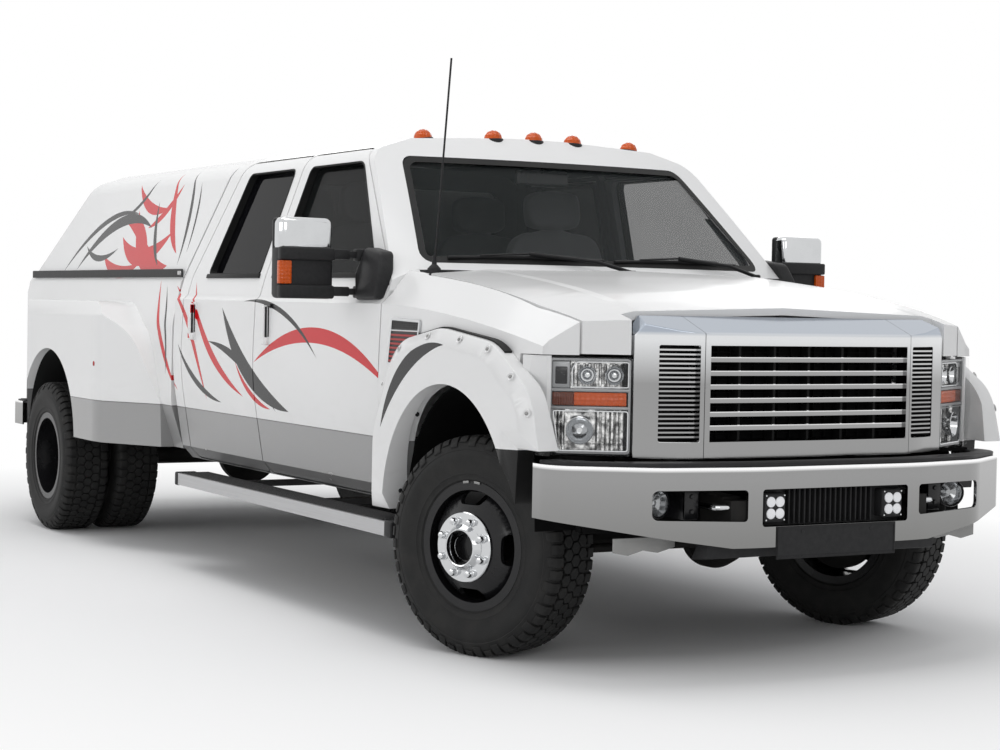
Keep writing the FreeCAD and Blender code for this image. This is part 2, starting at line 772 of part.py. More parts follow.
def bumper_plan(inset=0, rear=575):
    """Plan outline of the front bumper, which leaves room for the plate on its face."""
    half = size.bumper_half_width - inset
    nose = size.front_overhang - size.plate_thickness - size.seal - inset
    left = [(rear, half), (700, half, 150), (nose - 70, 700 - inset / 2, 300), (nose, 350, 900)]
    return left + [(x, -y, *rest) for x, y, *rest in reversed(left)]


def make_front_bumper():
    """Wrap-round front bumper with lamp openings, its pad, lamps, hooks and blank plate."""
    low = size.bumper_low
    high = size.bumper_high
    shell = prism("xy", bumper_plan(), low, high)
    shell = shell.cut(prism("xy", bumper_plan(size.bumper_wall, 560), low - 10, high - size.bumper_wall))
    shell = shell.cut(prism("xy", bumper_plan(size.bumper_flange, 560), low - 10, high + 10))
    side = [(1010, 430), (1010, 560), (640, 500), (430, low), (430, 430)]
    for sign in (1, -1):
        shell = shell.cut(prism("yz", [(sign * y, z) for y, z in side], 500, 1000))
        fog = [(sign * 375, 560, 14), (sign * 375, 668, 14), (sign * 715, 668, 20), (sign * 715, 569, 20)]
        shell = shell.cut(prism("yz", fog, 600, 1000))
    centre = [(-318, 541, 12), (318, 541, 12), (318, 669, 12), (-318, 669, 12)]
    shell = shell.cut(prism("yz", centre, 600, 1000))
    add("front_bumper", shell)


def make_rim(label):
    """Pressed wheel: a rim and its dished disc turned in one section, with oval hand holes."""
    inner = "disc_offset - disc_thickness"
    section = [
        ("rim_flange_radius", "rim_edge"), ("rim_flange_radius", "rim_lip"), ("rim_seat_radius", "rim_lip"),
        ("rim_seat_radius", "rim_step"), ("rim_drop_radius", "rim_step"), ("rim_drop_radius", "-rim_step"),
        ("rim_seat_radius", "-rim_step"), ("rim_seat_radius", "-rim_lip"), ("rim_flange_radius", "-rim_lip"),
        ("rim_flange_radius", "-rim_edge"), ("rim_well_radius", "-rim_edge"), ("rim_well_radius", "disc_foot"),
        ("disc_crown_radius", inner), ("hub_radius", inner), ("hub_radius", "disc_offset"),
        ("disc_crown_radius", "disc_offset"), ("disc_knee_radius", "disc_knee"),
        ("rim_well_radius", "disc_foot + disc_thickness"), ("rim_well_radius", "rim_edge"),
    ]
    body = doc.addObject("PartDesign::Body", label)
    sketch = corner_sketch(body, f"{label}_section", "XY_Plane", section)
    feature(body, "Revolution", f"{label}_turned", sketch, ReferenceAxis=(sketch, ["V_Axis"]), Angle=360)
    slot = sketch_on(body, f"{label}_hand_hole", "XZ_Plane")
    radius = size.hand_hole_radius
    middle = size.hand_hole_circle
    half = size.hand_hole_length / 2 - radius
    for up, start in ((half, 0), (-half, math.pi)):
        circle = Part.Circle(Vector(middle, up, 0), Z_AXIS, radius)
        slot.addGeometry(Part.ArcOfCircle(circle, start, start + math.pi))
    slot.addGeometry(Part.LineSegment(Vector(middle - radius, half, 0), Vector(middle - radius, -half, 0)))
    slot.addGeometry(Part.LineSegment(Vector(middle + radius, -half, 0), Vector(middle + radius, half, 0)))
    for ends in ((0, 2, 2, 1), (2, 2, 1, 1), (1, 2, 3, 1), (3, 2, 0, 1)):
        slot.addConstraint(Sketcher.Constraint("Tangent", *ends))
    slot.addConstraint(Sketcher.Constraint("Equal", 0, 1))
    hold(slot, "Radius", "hand_hole_radius", 0)
    for arc, sign in ((0, ""), (1, "-")):
        hold(slot, "DistanceX", "hand_hole_circle", -1, 1, arc, 3)
        hold(slot, "DistanceY", f"{sign}(hand_hole_length / 2 - hand_hole_radius)", -1, 1, arc, 3)
    doc.recompute()
    whole = body.Shape.Volume
    hole = feature(body, "Pocket", f"{label}_hole", slot, Type="ThroughAll", Midplane=True)
    repeat(body, "PolarPattern", f"{label}_holes", hole, "Y_Axis", "hand_hole_count", 360)
    doc.recompute()
    if body.Shape.Volume > whole - size.hand_hole_count * size.disc_thickness * size.hand_hole_radius ** 2:
        raise RuntimeError(f"the hand holes of {label} cut nothing")
    return body


def make_tyre():
    """Tyre about the y axis, turned in flats so that one flat rests on the ground."""
    side = size.tyre_width / 2
    tread = size.tread_width / 2
    bead = size.bead_half_width
    section = [(size.bead_radius, -bead), (size.sidewall_radius, -side), (size.tyre_radius, -tread),
               (size.tyre_radius, tread), (size.sidewall_radius, side), (size.bead_radius, bead)]
    half = math.pi / size.tyre_flats
    rings = []
    for number in range(int(size.tyre_flats)):
        turn = half * (2 * number + 1)
        ways = (math.sin(turn) / math.cos(half), math.cos(turn) / math.cos(half))
        rings.append([Vector(ways[0] * radius, across, -ways[1] * radius) for radius, across in section])
    faces = []
    for number, ring in enumerate(rings):
        before = rings[number - 1]
        for corner in range(len(section)):
            spots = [before[corner - 1], before[corner], ring[corner], ring[corner - 1]]
            faces.append(Part.Face(Part.makePolygon(spots + spots[:1])))
    return Part.Solid(Part.Shell(faces))


def make_wheels():
    """Tyres and wheels: single steered front wheels and twin rear wheels."""
    tyre = make_tyre()
    turned = Rotation(Z_AXIS, 180)
    for sign, name in ((1, "left"), (-1, "right")):
        outward = Rotation() if sign == 1 else turned
        inward = turned if sign == 1 else Rotation()
        hub_line = Vector(0, sign * size.front_track / 2, size.tyre_radius)
        shape = tyre.copy()
        shape.Placement = Placement(hub_line, outward)
        add(f"tyre_front_{name}", shape, sign)
        settle(make_rim(f"rim_front_{name}"), Placement(hub_line, outward), sign)
        tyres = []
        twins = []
        places = ((size.rear_track - size.dual_spacing, outward), (size.rear_track + size.dual_spacing, inward))
        for place, (spread, facing) in zip(("inner", "outer"), places):
            spot = Placement(Vector(rear_axle, sign * spread / 2, size.tyre_radius), facing)
            shape = tyre.copy()
            shape.Placement = spot
            tyres.append(shape)
            twin = make_rim(f"rim_rear_{name}_{place}")
            twin.Placement = spot
            twins.append(twin)
        add(f"tyres_rear_{name}", Part.makeCompound(tyres))
        hub = primitive("Cylinder", f"twin_hub_{name}", Radius="hub_radius + 8",
                        Height="twin_hub_end - twin_hub_start")
        bore = primitive("Cylinder", f"twin_bore_{name}", Radius="axle_end_radius + running",
                         Height="axle_end - twin_hub_start + 2")
        low = {1: ("twin_hub_start", "twin_hub_start - 1"), -1: ("-twin_hub_end", "-axle_end - 1")}[sign]
        for item, spot in zip((hub, bore), low):
            item.Placement = Placement(Vector(0, 0, 0), Rotation(X_AXIS, -90))
            for letter, formula in zip("xyz", ("-wheelbase", spot, "tyre_radius")):
                item.setExpression(f"Placement.Base.{letter}", bound(formula))
        pair = combine("MultiFuse", f"twin_pair_{name}", twins + [hub])
        settle(combine("Cut", f"rims_rear_{name}", (pair, bore)))


def make_steering():
    """Knuckles with brake discs and hubs, and the tie rod ahead of the axle."""
    height = size.tyre_radius
    king = size.kingpin_spread / 2
    half = size.kingpin_height / 2
    post = rod((0, king, height - half), (0, king, height + half), size.kingpin_radius + 16)
    spindle = rod((0, king, height), (0, 805, height), 55)
    disc = rod((0, 800, height), (0, 830, height), size.brake_radius)
    face = size.front_track / 2 + size.disc_offset
    hub = rod((0, 825, height), (0, face + 62, height), size.hub_radius - size.running)
    drop = height - size.steer_arm_drop
    arm = block((0, king - 24, drop - 14), (size.steer_arm + 24, king + 24, drop + 14))
    eye = rod((size.steer_arm, king, drop), (size.steer_arm, king, drop + 62), 11)
    knuckle = join([post, spindle, disc, hub, arm, eye])
    add("knuckle_left", knuckle, 1)
    add("knuckle_right", other_side(knuckle), -1)
    turn = math.radians(size.steer_angle)
    tip = Vector(size.steer_arm * math.cos(turn), size.steer_arm * math.sin(turn), 0)
    level = height - size.steer_arm_drop + 40
    ends = [Vector(tip.x, sign * size.kingpin_spread / 2 + tip.y, level) for sign in (-1, 1)]
    bar = rod(ends[0], ends[1], size.tie_rod_radius)
    bar = join([bar] + [rod(end - Z_AXIS * 18, end + Z_AXIS * 18, 26) for end in ends])
    for end in ends:
        bar = bar.cut(rod(end - Z_AXIS * 30, end + Z_AXIS * 30, 11 + 0.05))
    add("tie_rod", bar)


def pumpkin(radius, centre, facing):
    """Differential housing: a drum with a flat cover on one side and the shaft's snout on the other."""
    points = [(0, -0.85), (0.55, -0.8), (0.85, -0.45), (1, -0.1), (1, 0.2), (0.5, 0.75), (0.32, 1.1), (0, 1.1)]
    corners = [Vector(facing * along * radius, 0, out * radius) for out, along in points]
    face = Part.Face(Part.makePolygon(corners + corners[:1]))
    drum = face.revolve(Vector(0, 0, 0), X_AXIS, 360)
    drum.translate(Vector(*centre))
    return drum


def make_chassis():
    """Ladder frame, axles, springs, shafts, power unit, tank and exhaust."""
    height = size.tyre_radius
    inner = size.rail_spread / 2 - size.rail_width
    bottom = size.rail_bottom
    top = bottom + size.rail_height
    rise = size.rail_rise
    tail = bed_rear + 70
    rail = [(880, bottom + 60), (880, top + 20), (300, top + 40), (-420, top), (rear_axle + 729, top),
            (rear_axle + 479, top + rise), (rear_axle - 521, top + rise), (rear_axle - 721, top + rise - 30),
            (tail, top + rise - 30), (tail, bottom + rise - 20), (rear_axle - 471, bottom + rise),
            (rear_axle + 429, bottom + rise), (rear_axle + 679, bottom), (-420, bottom), (200, bottom + 90),
            (500, bottom + 90)]
    left = prism("xz", rail, inner, inner + size.rail_width)
    shrunk = Part.Face(outline("xz", rail, inner - 10)).makeOffset2D(-size.rail_wall)
    left = left.cut(shrunk.extrude(Y_AXIS * (size.rail_width - size.rail_wall + 10)))
    cross = []
    web = "rail_spread / 2 - rail_wall - seal"
    for number, (x, low, tall) in enumerate((
            ("815", 545, 70), ("-250", 508, 50), ("-1600", 562, 40), ("-2300", 550, 45), ("-3100", 550, 45),
            ("-wheelbase + 399", 640, 70), ("-wheelbase - 321", 640, 70),
            ("-wheelbase - bed_overhang + 130", 620, 70))):
        cross.append(crate(f"cross_member_{number}", (f"{x} - 40", f"-({web})", low), (f"{x} + 40", web, low + tall)))
    settle(combine("Compound", "cross_members", cross))
    edge = size.rail_spread / 2
    sides = []
    for x in (-900, -1900, -2800):
        sides.append(block((x - 45, inner, top - 5), (x + 45, edge, size.floor_height - size.floor_thickness - size.seal)))
    sides.append(block((-70, inner, top + 10), (70, 565, top + 45)))
    sides.append(block((-120, 330 + size.seal, 575), (0, inner + 5, 615)))
    for x, low in ((rear_axle + 700, 525), (rear_axle - 740, 585)):
        sides.append(block((x - 25, edge - 2, low + size.seal), (x + 25, 578, low + 100)))
    horn = block((860, inner, bottom + 70), (1000, edge, top + 10))
    sides.append(horn.common(prism("xy", bumper_plan(size.bumper_wall + size.seal, 560), 400, 800)))
    add("frame_rails", both_sides(join([left] + sides)))
    tube = rod((0, -size.kingpin_spread / 2 + 75, height), (0, size.kingpin_spread / 2 - 75, height),
               size.axle_tube_radius)
    diff = pumpkin(size.diff_radius, (-60, size.front_diff_side, height), -1)
    forks = []
    half = size.kingpin_height / 2
    for sign in (1, -1):
        king = sign * size.kingpin_spread / 2
        for low in (height - half - 32, height + half + 0.5):
            forks.append(block((-34, min(king + 34 * sign, king - 105 * sign), low),
                               (34, max(king + 34 * sign, king - 105 * sign), low + 31.5)))
        forks.append(block((-34, min(king - 72 * sign, king - 105 * sign), height - half - 20),
                           (34, max(king - 72 * sign, king - 105 * sign), height + half + 20)))
    add("front_axle", join([tube, diff] + forks))
    rear_tube = rod((rear_axle, -815, height), (rear_axle, 815, height), size.axle_tube_radius + 12)
    ends = [(rear_axle, sign * size.axle_end, height) for sign in (-1, 1)]
    rear_tube = rear_tube.fuse(rod(ends[0], ends[1], size.axle_end_radius))
    rear_diff = pumpkin(size.diff_radius + 30, (rear_axle - 20, 0, height), 1)
    add("rear_axle", join([rear_tube, rear_diff]))
    coils = []
    for sign in (1, -1):
        foot = ("0", f"{sign} * spring_side", "tyre_radius + axle_tube_radius")
        tall = "rail_bottom + rail_height + 10 - seal - tyre_radius - axle_tube_radius"
        coils.append(primitive("Cylinder", f"coil_{len(coils)}", foot, Radius="spring_radius", Height=tall))
    settle(combine("Compound", "front_springs", coils))
    leaves = []
    for sign in (1, -1):
        seat = height + size.axle_tube_radius + 12 + size.seal
        leaf = [(rear_axle + 720, 500), (rear_axle + 60, seat), (rear_axle - 60, seat), (rear_axle - 760, 560),
                (rear_axle - 760, 585), (rear_axle - 60, seat + 60), (rear_axle + 60, seat + 60),
                (rear_axle + 720, 525)]
        low, high = sorted((sign * 500, sign * 575))
        leaves.append(prism("xz", leaf, low, high))
    add("rear_springs", Part.makeCompound(leaves))
    settle(combine("Compound", "engine", [crate("engine_block", (-560, -330, 560), (520, 330, 1160))]))
    cases = (((-1250, -195, 480), (-560, 195, 820)), ((-1450, -160, 440), (-1250, 195, 720)),
             ((-1450, 100, 440), (-1250, 300, 600)))
    cases = [crate(f"gear_case_{number}", *corners) for number, corners in enumerate(cases)]
    doc.recompute()
    gearbox = join([case.Shape for case in cases])
    settle(combine("MultiFuse", "gearbox", cases))
    shafts = [rod((-1400, 0, 520), (rear_axle + 100, 0, height + 10), size.shaft_radius),
              rod((-1300, 262, 500), (-110, size.front_diff_side, height + 10), 35)]
    shafts = [shaft.cut(gearbox).cut(diff).cut(rear_diff) for shaft in shafts]
    add("prop_shafts", Part.makeCompound(shafts))
    tank = [crate("tank_body", ("tank_rear", "tank_inner", "tank_low"), ("tank_front", "tank_outer", "tank_high"))]
    for number, inset in enumerate((350, 1050)):
        middle = f"tank_front - {inset}"
        tank.append(crate(f"tank_strap_{number}", (f"{middle} - 20", "rail_spread / 2", "tank_low + 60"),
                          (f"{middle} + 20", "tank_inner + 5", "tank_low + 120")))
    settle(combine("MultiFuse", "fuel_tank", tank))
    pipe = [rod((-700, -560, 525), (-3500, -560, 525), 45), rod((-1700, -560, 525), (-2500, -560, 525), 95)]
    for x in (-1200, -3200):
        pipe.append(block((x - 15, -600, 530), (x + 15, -edge, 600)))
    add("exhaust", join(pipe))
    radiator = [block((600, -430, 650 + size.seal), (690, 430, 1160 - size.seal))]
    arms = prism("xy", nose_plan(size.lamp_depth + size.seal), 880, 930)
    arms = arms.cut(prism("xy", nose_plan(size.lamp_depth + 50), 870, 940))
    for sign in (1, -1):
        low, high = sorted((sign * 425, sign * 900))
        arm = arms.common(block((300, low, 880), (900, high, 930)))
        radiator.append(arm.cut(block((637, -700, 800), (900, 700, 1000))))
    add("radiator", join(radiator))


def wheel_rim(radius, thickness):
    """Steering wheel's rim, six-sided in section, about the y axis."""
    turns = [math.radians(60 * number) for number in range(6)]
    return revolve([(radius + thickness * math.cos(turn), thickness * math.sin(turn)) for turn in turns], (0, 0, 0))


def make_interior():
    """Seats, dashboard and steering wheel."""
    floor = size.floor_height
    seats = []
    for x, spots in ((-1500, (-480, 480)), (-2230, (-480, 480))):
        for y in spots:
            base = prism("xz", [(x + 300, floor + 260, 40), (x + 300, floor + 400, 60), (x - 180, floor + 380),
                                (x - 180, floor + 260)], y - 260, y + 260)
            back = prism("xz", [(x - 130, floor + 300), (x - 270, floor + 960, 35), (x - 370, floor + 960, 35),
                                (x - 260, floor + 260)], y - 260, y + 260)
            head = prism("xz", [(x - 270, floor + 950), (x - 290, floor + 1150, 30), (x - 370, floor + 1150, 30),
                                (x - 370, floor + 950)], y - 130, y + 130)
            foot = block((x - 150, y - 220, floor), (x + 250, y + 220, floor + 270))
            seats.append(join([base, back, head, foot]))
    add("seats", Part.makeCompound(seats))
    dash = [(size.door_front - 25, floor + 350), (size.door_front - 25, 1360), (-760, 1400, 40), (-960, 1330, 60), (-960, 1100, 60), (-820, floor + 350)]
    dash = prism("xz", dash, -840, 840)
    add("dashboard", dash)
    ring = wheel_rim(190, 15)
    ring.Placement = Placement(Vector(-1130, 430, 1230), Rotation(Y_AXIS, Vector(-0.85, 0, 0.5)))
    ring = Part.makeCompound([ring]).Solids[0]
    column = rod((-950, 430, 1125), (-1130, 430, 1230), 30)
    hub = rod((-1110, 430, 1220), (-1150, 430, 1242), 60)
    spokes = [rod((-1130, 430, 1230), (-1130, 430 + sign * 185, 1230), 12) for sign in (1, -1)]
    add("steering_wheel", join([ring, column, hub] + spokes).cut(dash))


def bed_outline(inset=0, rail=None):
    """Section across the load bed's outer sides."""
    rail = size.bed_rail if rail is None else rail
    left = [(size.bed_half_width - 60 - inset, 540), (size.bed_half_width + 10 - inset, 760, 200),
            (size.bed_half_width + 8 - inset, 1150, 300), (size.canopy_foot_half + 4 - inset, rail - 20),
            (size.canopy_foot_half - 8 - inset, rail)]
    return mirrored(left)


def make_bed():
    """Load bed with twin-wheel bulges, tailgate, canopy and canopy hatch."""
    outer = prism("yz", bed_outline(), bed_rear, size.bed_front)
    top = size.bulge_top
    bulge = [(rear_axle + 1319, 540), (rear_axle + 1309, 760), (rear_axle + 1129, top - 155, 300),
             (rear_axle + 819, top, 300), (rear_axle - 721, top, 300), (bed_rear + 120, top - 155, 300),
             (bed_rear + 70, 760), (bed_rear + 70, 540)]
    swell = prism("xz", bulge, 900, size.bulge_half_width)
    reach = size.bulge_half_width
    slope = [(reach - 60, top + 30), (reach + 20, top - 120), (reach + 20, top + 30)]
    swell = swell.cut(prism("yz", slope, bed_rear - 100, size.bed_front))
    side = size.bed_half_width + 10
    taper = [(rear_axle + 1379, side - 10), (rear_axle + 1319, side), (rear_axle + 959, reach - 14),
             (rear_axle + 819, reach + 1), (rear_axle + 1379, reach + 1)]
    swell = swell.cut(prism("xy", taper, 400, 1400))
    outer = join([outer, swell, other_side(swell)])
    tail = [(rear_axle - 321, reach + 1), (rear_axle - 521, reach - 75), (rear_axle - 821, side + 30, 400),
            (bed_rear, size.bed_rear_half_width), (bed_rear - 10, size.bed_rear_half_width), (bed_rear - 10, reach + 1)]
    tail = prism("xy", tail, 300, 1500)
    outer = outer.cut(tail).cut(other_side(tail))
    wall = size.bed_wall
    floor = size.bed_floor
    room = block((bed_rear - 10, -size.bed_half_width + wall + 30, floor),
                 (size.bed_front - wall, size.bed_half_width - wall - 30, 1500))
    under = block((bed_rear - 10, -size.bed_half_width + wall + 30, 400),
                  (size.bed_front + 10, size.bed_half_width - wall - 30, floor - size.bed_floor_thickness))
    outer = outer.cut(room).cut(under)
    centre = (rear_axle + 60, 0, size.tyre_radius + 110)
    for sign in (1, -1):
        arch = rod((centre[0], sign * 620, centre[2]), (centre[0], sign * 1300, centre[2]), size.rear_arch_radius)
        arch = arch.fuse(block((centre[0] - size.rear_arch_radius, min(sign * 620, sign * 1300), 300),
                               (centre[0] + size.rear_arch_radius, max(sign * 620, sign * 1300), centre[2])))
        low, high = sorted((sign * 620, sign * 900))
        house = rod((centre[0], sign * 590, centre[2]), (centre[0], sign * 930, centre[2]), size.rear_arch_radius + 30)
        house = house.common(block((-6000, -1300, floor - 10), (0, 1300, 1500)))
        outer = outer.fuse(house).cut(arch)
    gate_front = bed_rear + size.tailgate_wall + size.tailgate_gap
    inner = size.bed_half_width - wall - 30
    low = size.tailgate_low
    outer = outer.cut(block((bed_rear - 20, -inner, 640), (gate_front, inner, 1500)))
    outer = outer.cut(block((bed_rear - 20, -inner, 400), (bed_rear + 200, inner, low)))
    gap = size.tailgate_gap
    gate = block((bed_rear, gap - inner, low + gap),
                 (bed_rear + size.tailgate_wall, inner - gap, size.bed_rail - gap))
    gate = gate.makeFillet(12, [edge for edge in gate.Edges if edge.BoundBox.XMax < bed_rear + 1])
    pin_x = bed_rear + size.tailgate_wall - size.gate_pin_inset
    pin_z = low + gap + size.gate_pin_inset
    for sign in (1, -1):
        ends = [Vector(pin_x, sign * y, pin_z) for y in (inner - 40, inner + 5)]
        outer = outer.fuse(rod(ends[0], ends[1], size.gate_pin_radius))
        hole = [Vector(pin_x, sign * y, pin_z) for y in (inner - 41, inner)]
        gate = gate.cut(rod(hole[0], hole[1], size.gate_pin_radius + size.running))
    for x in (rear_axle + 1179, rear_axle + 399, rear_axle - 321, bed_rear + 200):
        rail_top = size.rail_bottom + size.rail_height + (size.rail_rise if x < rear_axle + 479 else 0)
        rail_top -= 30 if x < rear_axle - 721 else 0
        bearer = block((x - 45, -size.rail_spread / 2, rail_top + size.seal),
                       (x + 45, size.rail_spread / 2, floor - size.bed_floor_thickness + 1))
        outer = outer.fuse(bearer)
    add("bed", outer.removeSplitter())
    add("tailgate", gate)
    make_canopy()


def canopy_outline(inset=0, foot_drop=0):
    """Section across the canopy."""
    top = size.canopy_head - inset
    left = [(size.canopy_foot_half - inset, size.bed_rail - foot_drop), (size.canopy_head_half - inset, top - 70, 110),
            (size.canopy_head_half - 160 - inset, top - 12), (0, top + 8, 5000)]
    return mirrored(left)


def make_canopy():
    """Moulded canopy open to the bed, with a trim rail round its foot and a rear hatch."""
    front = size.cab_rear - size.canopy_gap
    rear = bed_rear + size.canopy_inset
    rise = size.canopy_head - size.bed_rail
    side = [(front, size.bed_rail), (front + size.canopy_front_lean * 1.1, size.bed_rail + rise * 1.1),
            (rear + size.canopy_rear_lean * 1.1, size.bed_rail + rise * 1.1), (rear, size.bed_rail)]
    solid = prism("yz", canopy_outline(), -6000, -2000).common(prism("xz", side, -1200, 1200))
    wall = size.canopy_wall
    inner_side = [(front - wall, 1300), (front - wall + 7, size.bed_rail),
                  (front - wall + size.canopy_front_lean * 1.1, size.bed_rail + rise * 1.1),
                  (rear + wall + size.canopy_rear_lean * 1.1, size.bed_rail + rise * 1.1),
                  (rear + wall, size.bed_rail), (rear + wall, 1300)]
    hollow = prism("yz", canopy_outline(wall, 60), -6000, -2000).common(prism("xz", inner_side, -1200, 1200))
    shell = solid.cut(hollow)
    lid = [(720, size.bed_rail + 30, 60), (640, size.canopy_head - 110, 60)]
    opening = prism("yz", mirrored(lid), rear - 50, rear + size.canopy_rear_lean + 60)
    back = prism("xz", [(rear - 200, 1300), (rear + wall + 20, 1300), (rear + wall + 30, size.bed_rail),
                        (rear + wall + 30 + size.canopy_rear_lean * 1.1, size.bed_rail + rise * 1.1),
                        (rear - 200, size.bed_rail + rise * 1.1)], -1200, 1200)
    shell = shell.cut(opening.common(back))
    head = size.canopy_head - 117
    for sign in (1, -1):
        low, high = sorted((sign * 250, sign * 350))
        leaf = block((rear, low, head + size.seal), (rear + size.canopy_rear_lean, high, head + 12))
        shell = shell.fuse(leaf.common(solid).cut(hollow))
    add("canopy", shell.removeSplitter())
    small = [(720 - 7, size.bed_rail + 37, 60), (640 - 7, size.canopy_head - 117, 60)]
    hatch = prism("yz", mirrored(small), rear - 50, rear + size.canopy_rear_lean + 60).common(solid)
    hatch = hatch.cut(hollow)
    add("canopy_hatch", hatch)
    tail = "-wheelbase - bed_overhang + canopy_inset"
    nose = "cab_rear - canopy_gap"
    half = "(canopy_foot_half + trim_reach)"
    outer = crate("trim_band", (tail, f"-{half}", "bed_rail"), (nose, half, "bed_rail + trim_height"))
    edge = "canopy_foot_half"
    inner = crate("trim_hollow", (f"{tail} - 10", f"-{edge}", "bed_rail - 10"), (f"{nose} + 10", edge, "bed_rail + 100"))
    settle(combine("Cut", "canopy_trim", (outer, inner)))


def make_trim(cab):
    """Flares, vents, cowl, running boards, mirrors, lamps, plate, antenna and rear bumper."""
    reach = size.flare_half_width
    centre = (30, size.tyre_radius + 100)
    outer = size.front_arch_radius + 150
    inner = size.front_arch_radius - 6
    edge = [(-607, 486), (-607, 800, 300), (-430, 1130, 250), (-60, 1192, 350), (330, 1148, 300),
            (606, 980, 200), (660, 790), (520, 790), (500, 500)]
    shoulder = size.flare_half_width - size.flare_rise
    wide = Part.Face(outline("xz", edge, 0))
    narrow = wide.makeOffset2D(-size.flare_slope, 2)
    ring = wide.copy()
    ring.translate(Y_AXIS * 940)
    ring = ring.extrude(Y_AXIS * (shoulder - 940))
    ends = []
    for face, level in ((wide, shoulder), (narrow, reach)):
        wire = face.OuterWire.copy()
        wire.translate(Y_AXIS * level)
        ends.append(wire)
    ring = ring.fuse(Part.makeLoft(ends, True, True))
    hole = rod((centre[0], 900, centre[1]), (centre[0], 1200, centre[1]), inner)
    hole = hole.fuse(block((centre[0] - inner, 900, 0), (centre[0] + inner + 400, 1200, centre[1])))
    flare = ring.cut(hole).cut(nose_half(-0.3))
    flare = max(flare.Solids, key=lambda solid: solid.Volume)
    add("fender_flares", both_sides(flare))
    boards = []
    far = size.board_reach
    near = far - size.board_width
    top = size.board_low + size.board_height
    plan = [(size.board_rear, near), (size.board_front - 100, near), (size.board_front, far), (size.board_rear, far)]
    step = prism("xy", plan, top - 25, top)
    lip = prism("xy", [(size.board_rear, far - 10), (size.board_front - 6, far - 10), (size.board_front, far),
                       (size.board_rear, far)], size.board_low, top)
    arms = []
    inward = size.rail_spread / 2
    for x in (-700, -1500, -2400):
        arms.append(block((x - 30, inward, size.board_low + 5), (x + 30, far - 30, size.board_low + 31)))
        arms.append(block((x - 30, inward, size.board_low + 5), (x + 30, inward + 26, 560)))
    boards.append(join([step, lip] + arms))
    add("running_boards", both_sides(boards[0]))
    lamps = []
    for x, y, z in ((-1190, 0, 1995), (-1193, 200, 1993), (-1193, -200, 1993), (-1236, 520, 1982),
                    (-1236, -520, 1982)):
        lamps.append(Part.makeCylinder(size.roof_lamp_radius, size.roof_lamp_height, Vector(x, y, z - 5)))
    add("roof_lamps", Part.makeCompound([lamp.cut(cab) for lamp in lamps]))
    add("antenna", rod((-546, -810, size.windscreen_foot_height - size.seal),
                       (-433, -810, size.antenna_tip), size.antenna_radius))
    for sign, name in ((1, "left"), (-1, "right")):
        turn = (lambda shape: shape) if sign == 1 else other_side
        head = prism("xz", [(-930, 1285, 25), (-830, 1285, 25), (-830, 1610, 30), (-905, 1610, 35)], 1105, 1339)
        arms = [block((-880, 950, z), (-850, 1110, z + 28)) for z in (1330, 1500)]
        base = prism("xz", [(-712, 1394), (-872, 1394), (-822, 1545, 30)], 905, 975)
        mirror = join([head, base] + arms).cut(body_prism(-size.seal, -size.seal, 0))
        add(f"mirror_{name}", turn(mirror))
    rear = -size.wheelbase - size.rear_overhang
    front = bed_rear - 6
    bar = block((rear, -1000, 500), (front, 1000, 640))
    bar = bar.cut(block((rear + size.ball_plate, -990, 490), (front + 10, 990, 640 - size.ball_plate)))
    tread = size.ball_plate
    bar = bar.cut(block((rear - 1, -250, 500 + tread), (rear + 110, 250, 700)))
    step = [block((rear, -250 - tread, 500), (rear + 120, 250 + tread, 500 + tread)),
            block((rear + 110, -250 - tread, 500), (rear + 120, 250 + tread, 640))]
    for sign in (1, -1):
        low, high = sorted((sign * 250, sign * (250 + tread)))
        step.append(block((rear, low, 500), (rear + 120, high, 640)))
        low, high = sorted((sign * 360, sign * 425))
        step.append(block((front - 40, low, 590), (-5430 - size.seal, high, 632)))
    spot = rear + 55
    hole = rod((spot, 0, 480), (spot, 0, 700), size.ball_hole_radius)
    add("rear_bumper", join([bar] + step).cut(hole))
    make_plate()


def make_plate():
    """Blank plate with two screw holes."""
    body = doc.addObject("PartDesign::Body", "plate")
    half = "plate_width / 2"
    corners = [(f"-{half}", "plate_low"), (half, "plate_low"), (half, "plate_low + plate_height"),
               (f"-{half}", "plate_low + plate_height")]
    sketch = corner_sketch(body, "plate_outline", "YZ_Plane", corners)
    sketch.setExpression("AttachmentOffset.Base.z", bound("front_overhang - plate_thickness"))
    feature(body, "Pad", "plate_sheet", sketch, Length="plate_thickness")
    screw = sketch_on(body, "plate_screw", "YZ_Plane")
    screw.setExpression("AttachmentOffset.Base.z", bound("front_overhang - plate_thickness - 5"))
    middle = Vector(-size.plate_hole_spacing / 2, size.plate_low + size.plate_hole_height, 0)
    screw.addGeometry(Part.Circle(middle, Z_AXIS, size.plate_hole_radius))
    hold(screw, "Radius", "plate_hole_radius", 0)
    hold(screw, "DistanceX", "-plate_hole_spacing / 2", -1, 1, 0, 3)
    hold(screw, "DistanceY", "plate_low + plate_hole_height", -1, 1, 0, 3)
    doc.recompute()
    whole = body.Shape.Volume
    hole = feature(body, "Pocket", "plate_hole", screw, Type="ThroughAll", Midplane=True)
    doc.recompute()
    repeat(body, "LinearPattern", "plate_holes", hole, "Y_Axis", "2", "plate_hole_spacing")
    doc.recompute()
    if body.Shape.Volume > whole - 1.9 * math.pi * size.plate_hole_radius ** 2 * size.plate_thickness:
        raise RuntimeError("the plate's holes cut nothing")
    settle(body)



cab = make_cab()
make_nose(cab)
make_grille()
make_front_bumper()
make_wheels()
make_steering()
make_chassis()
make_interior()
make_bed()
make_trim(cab)

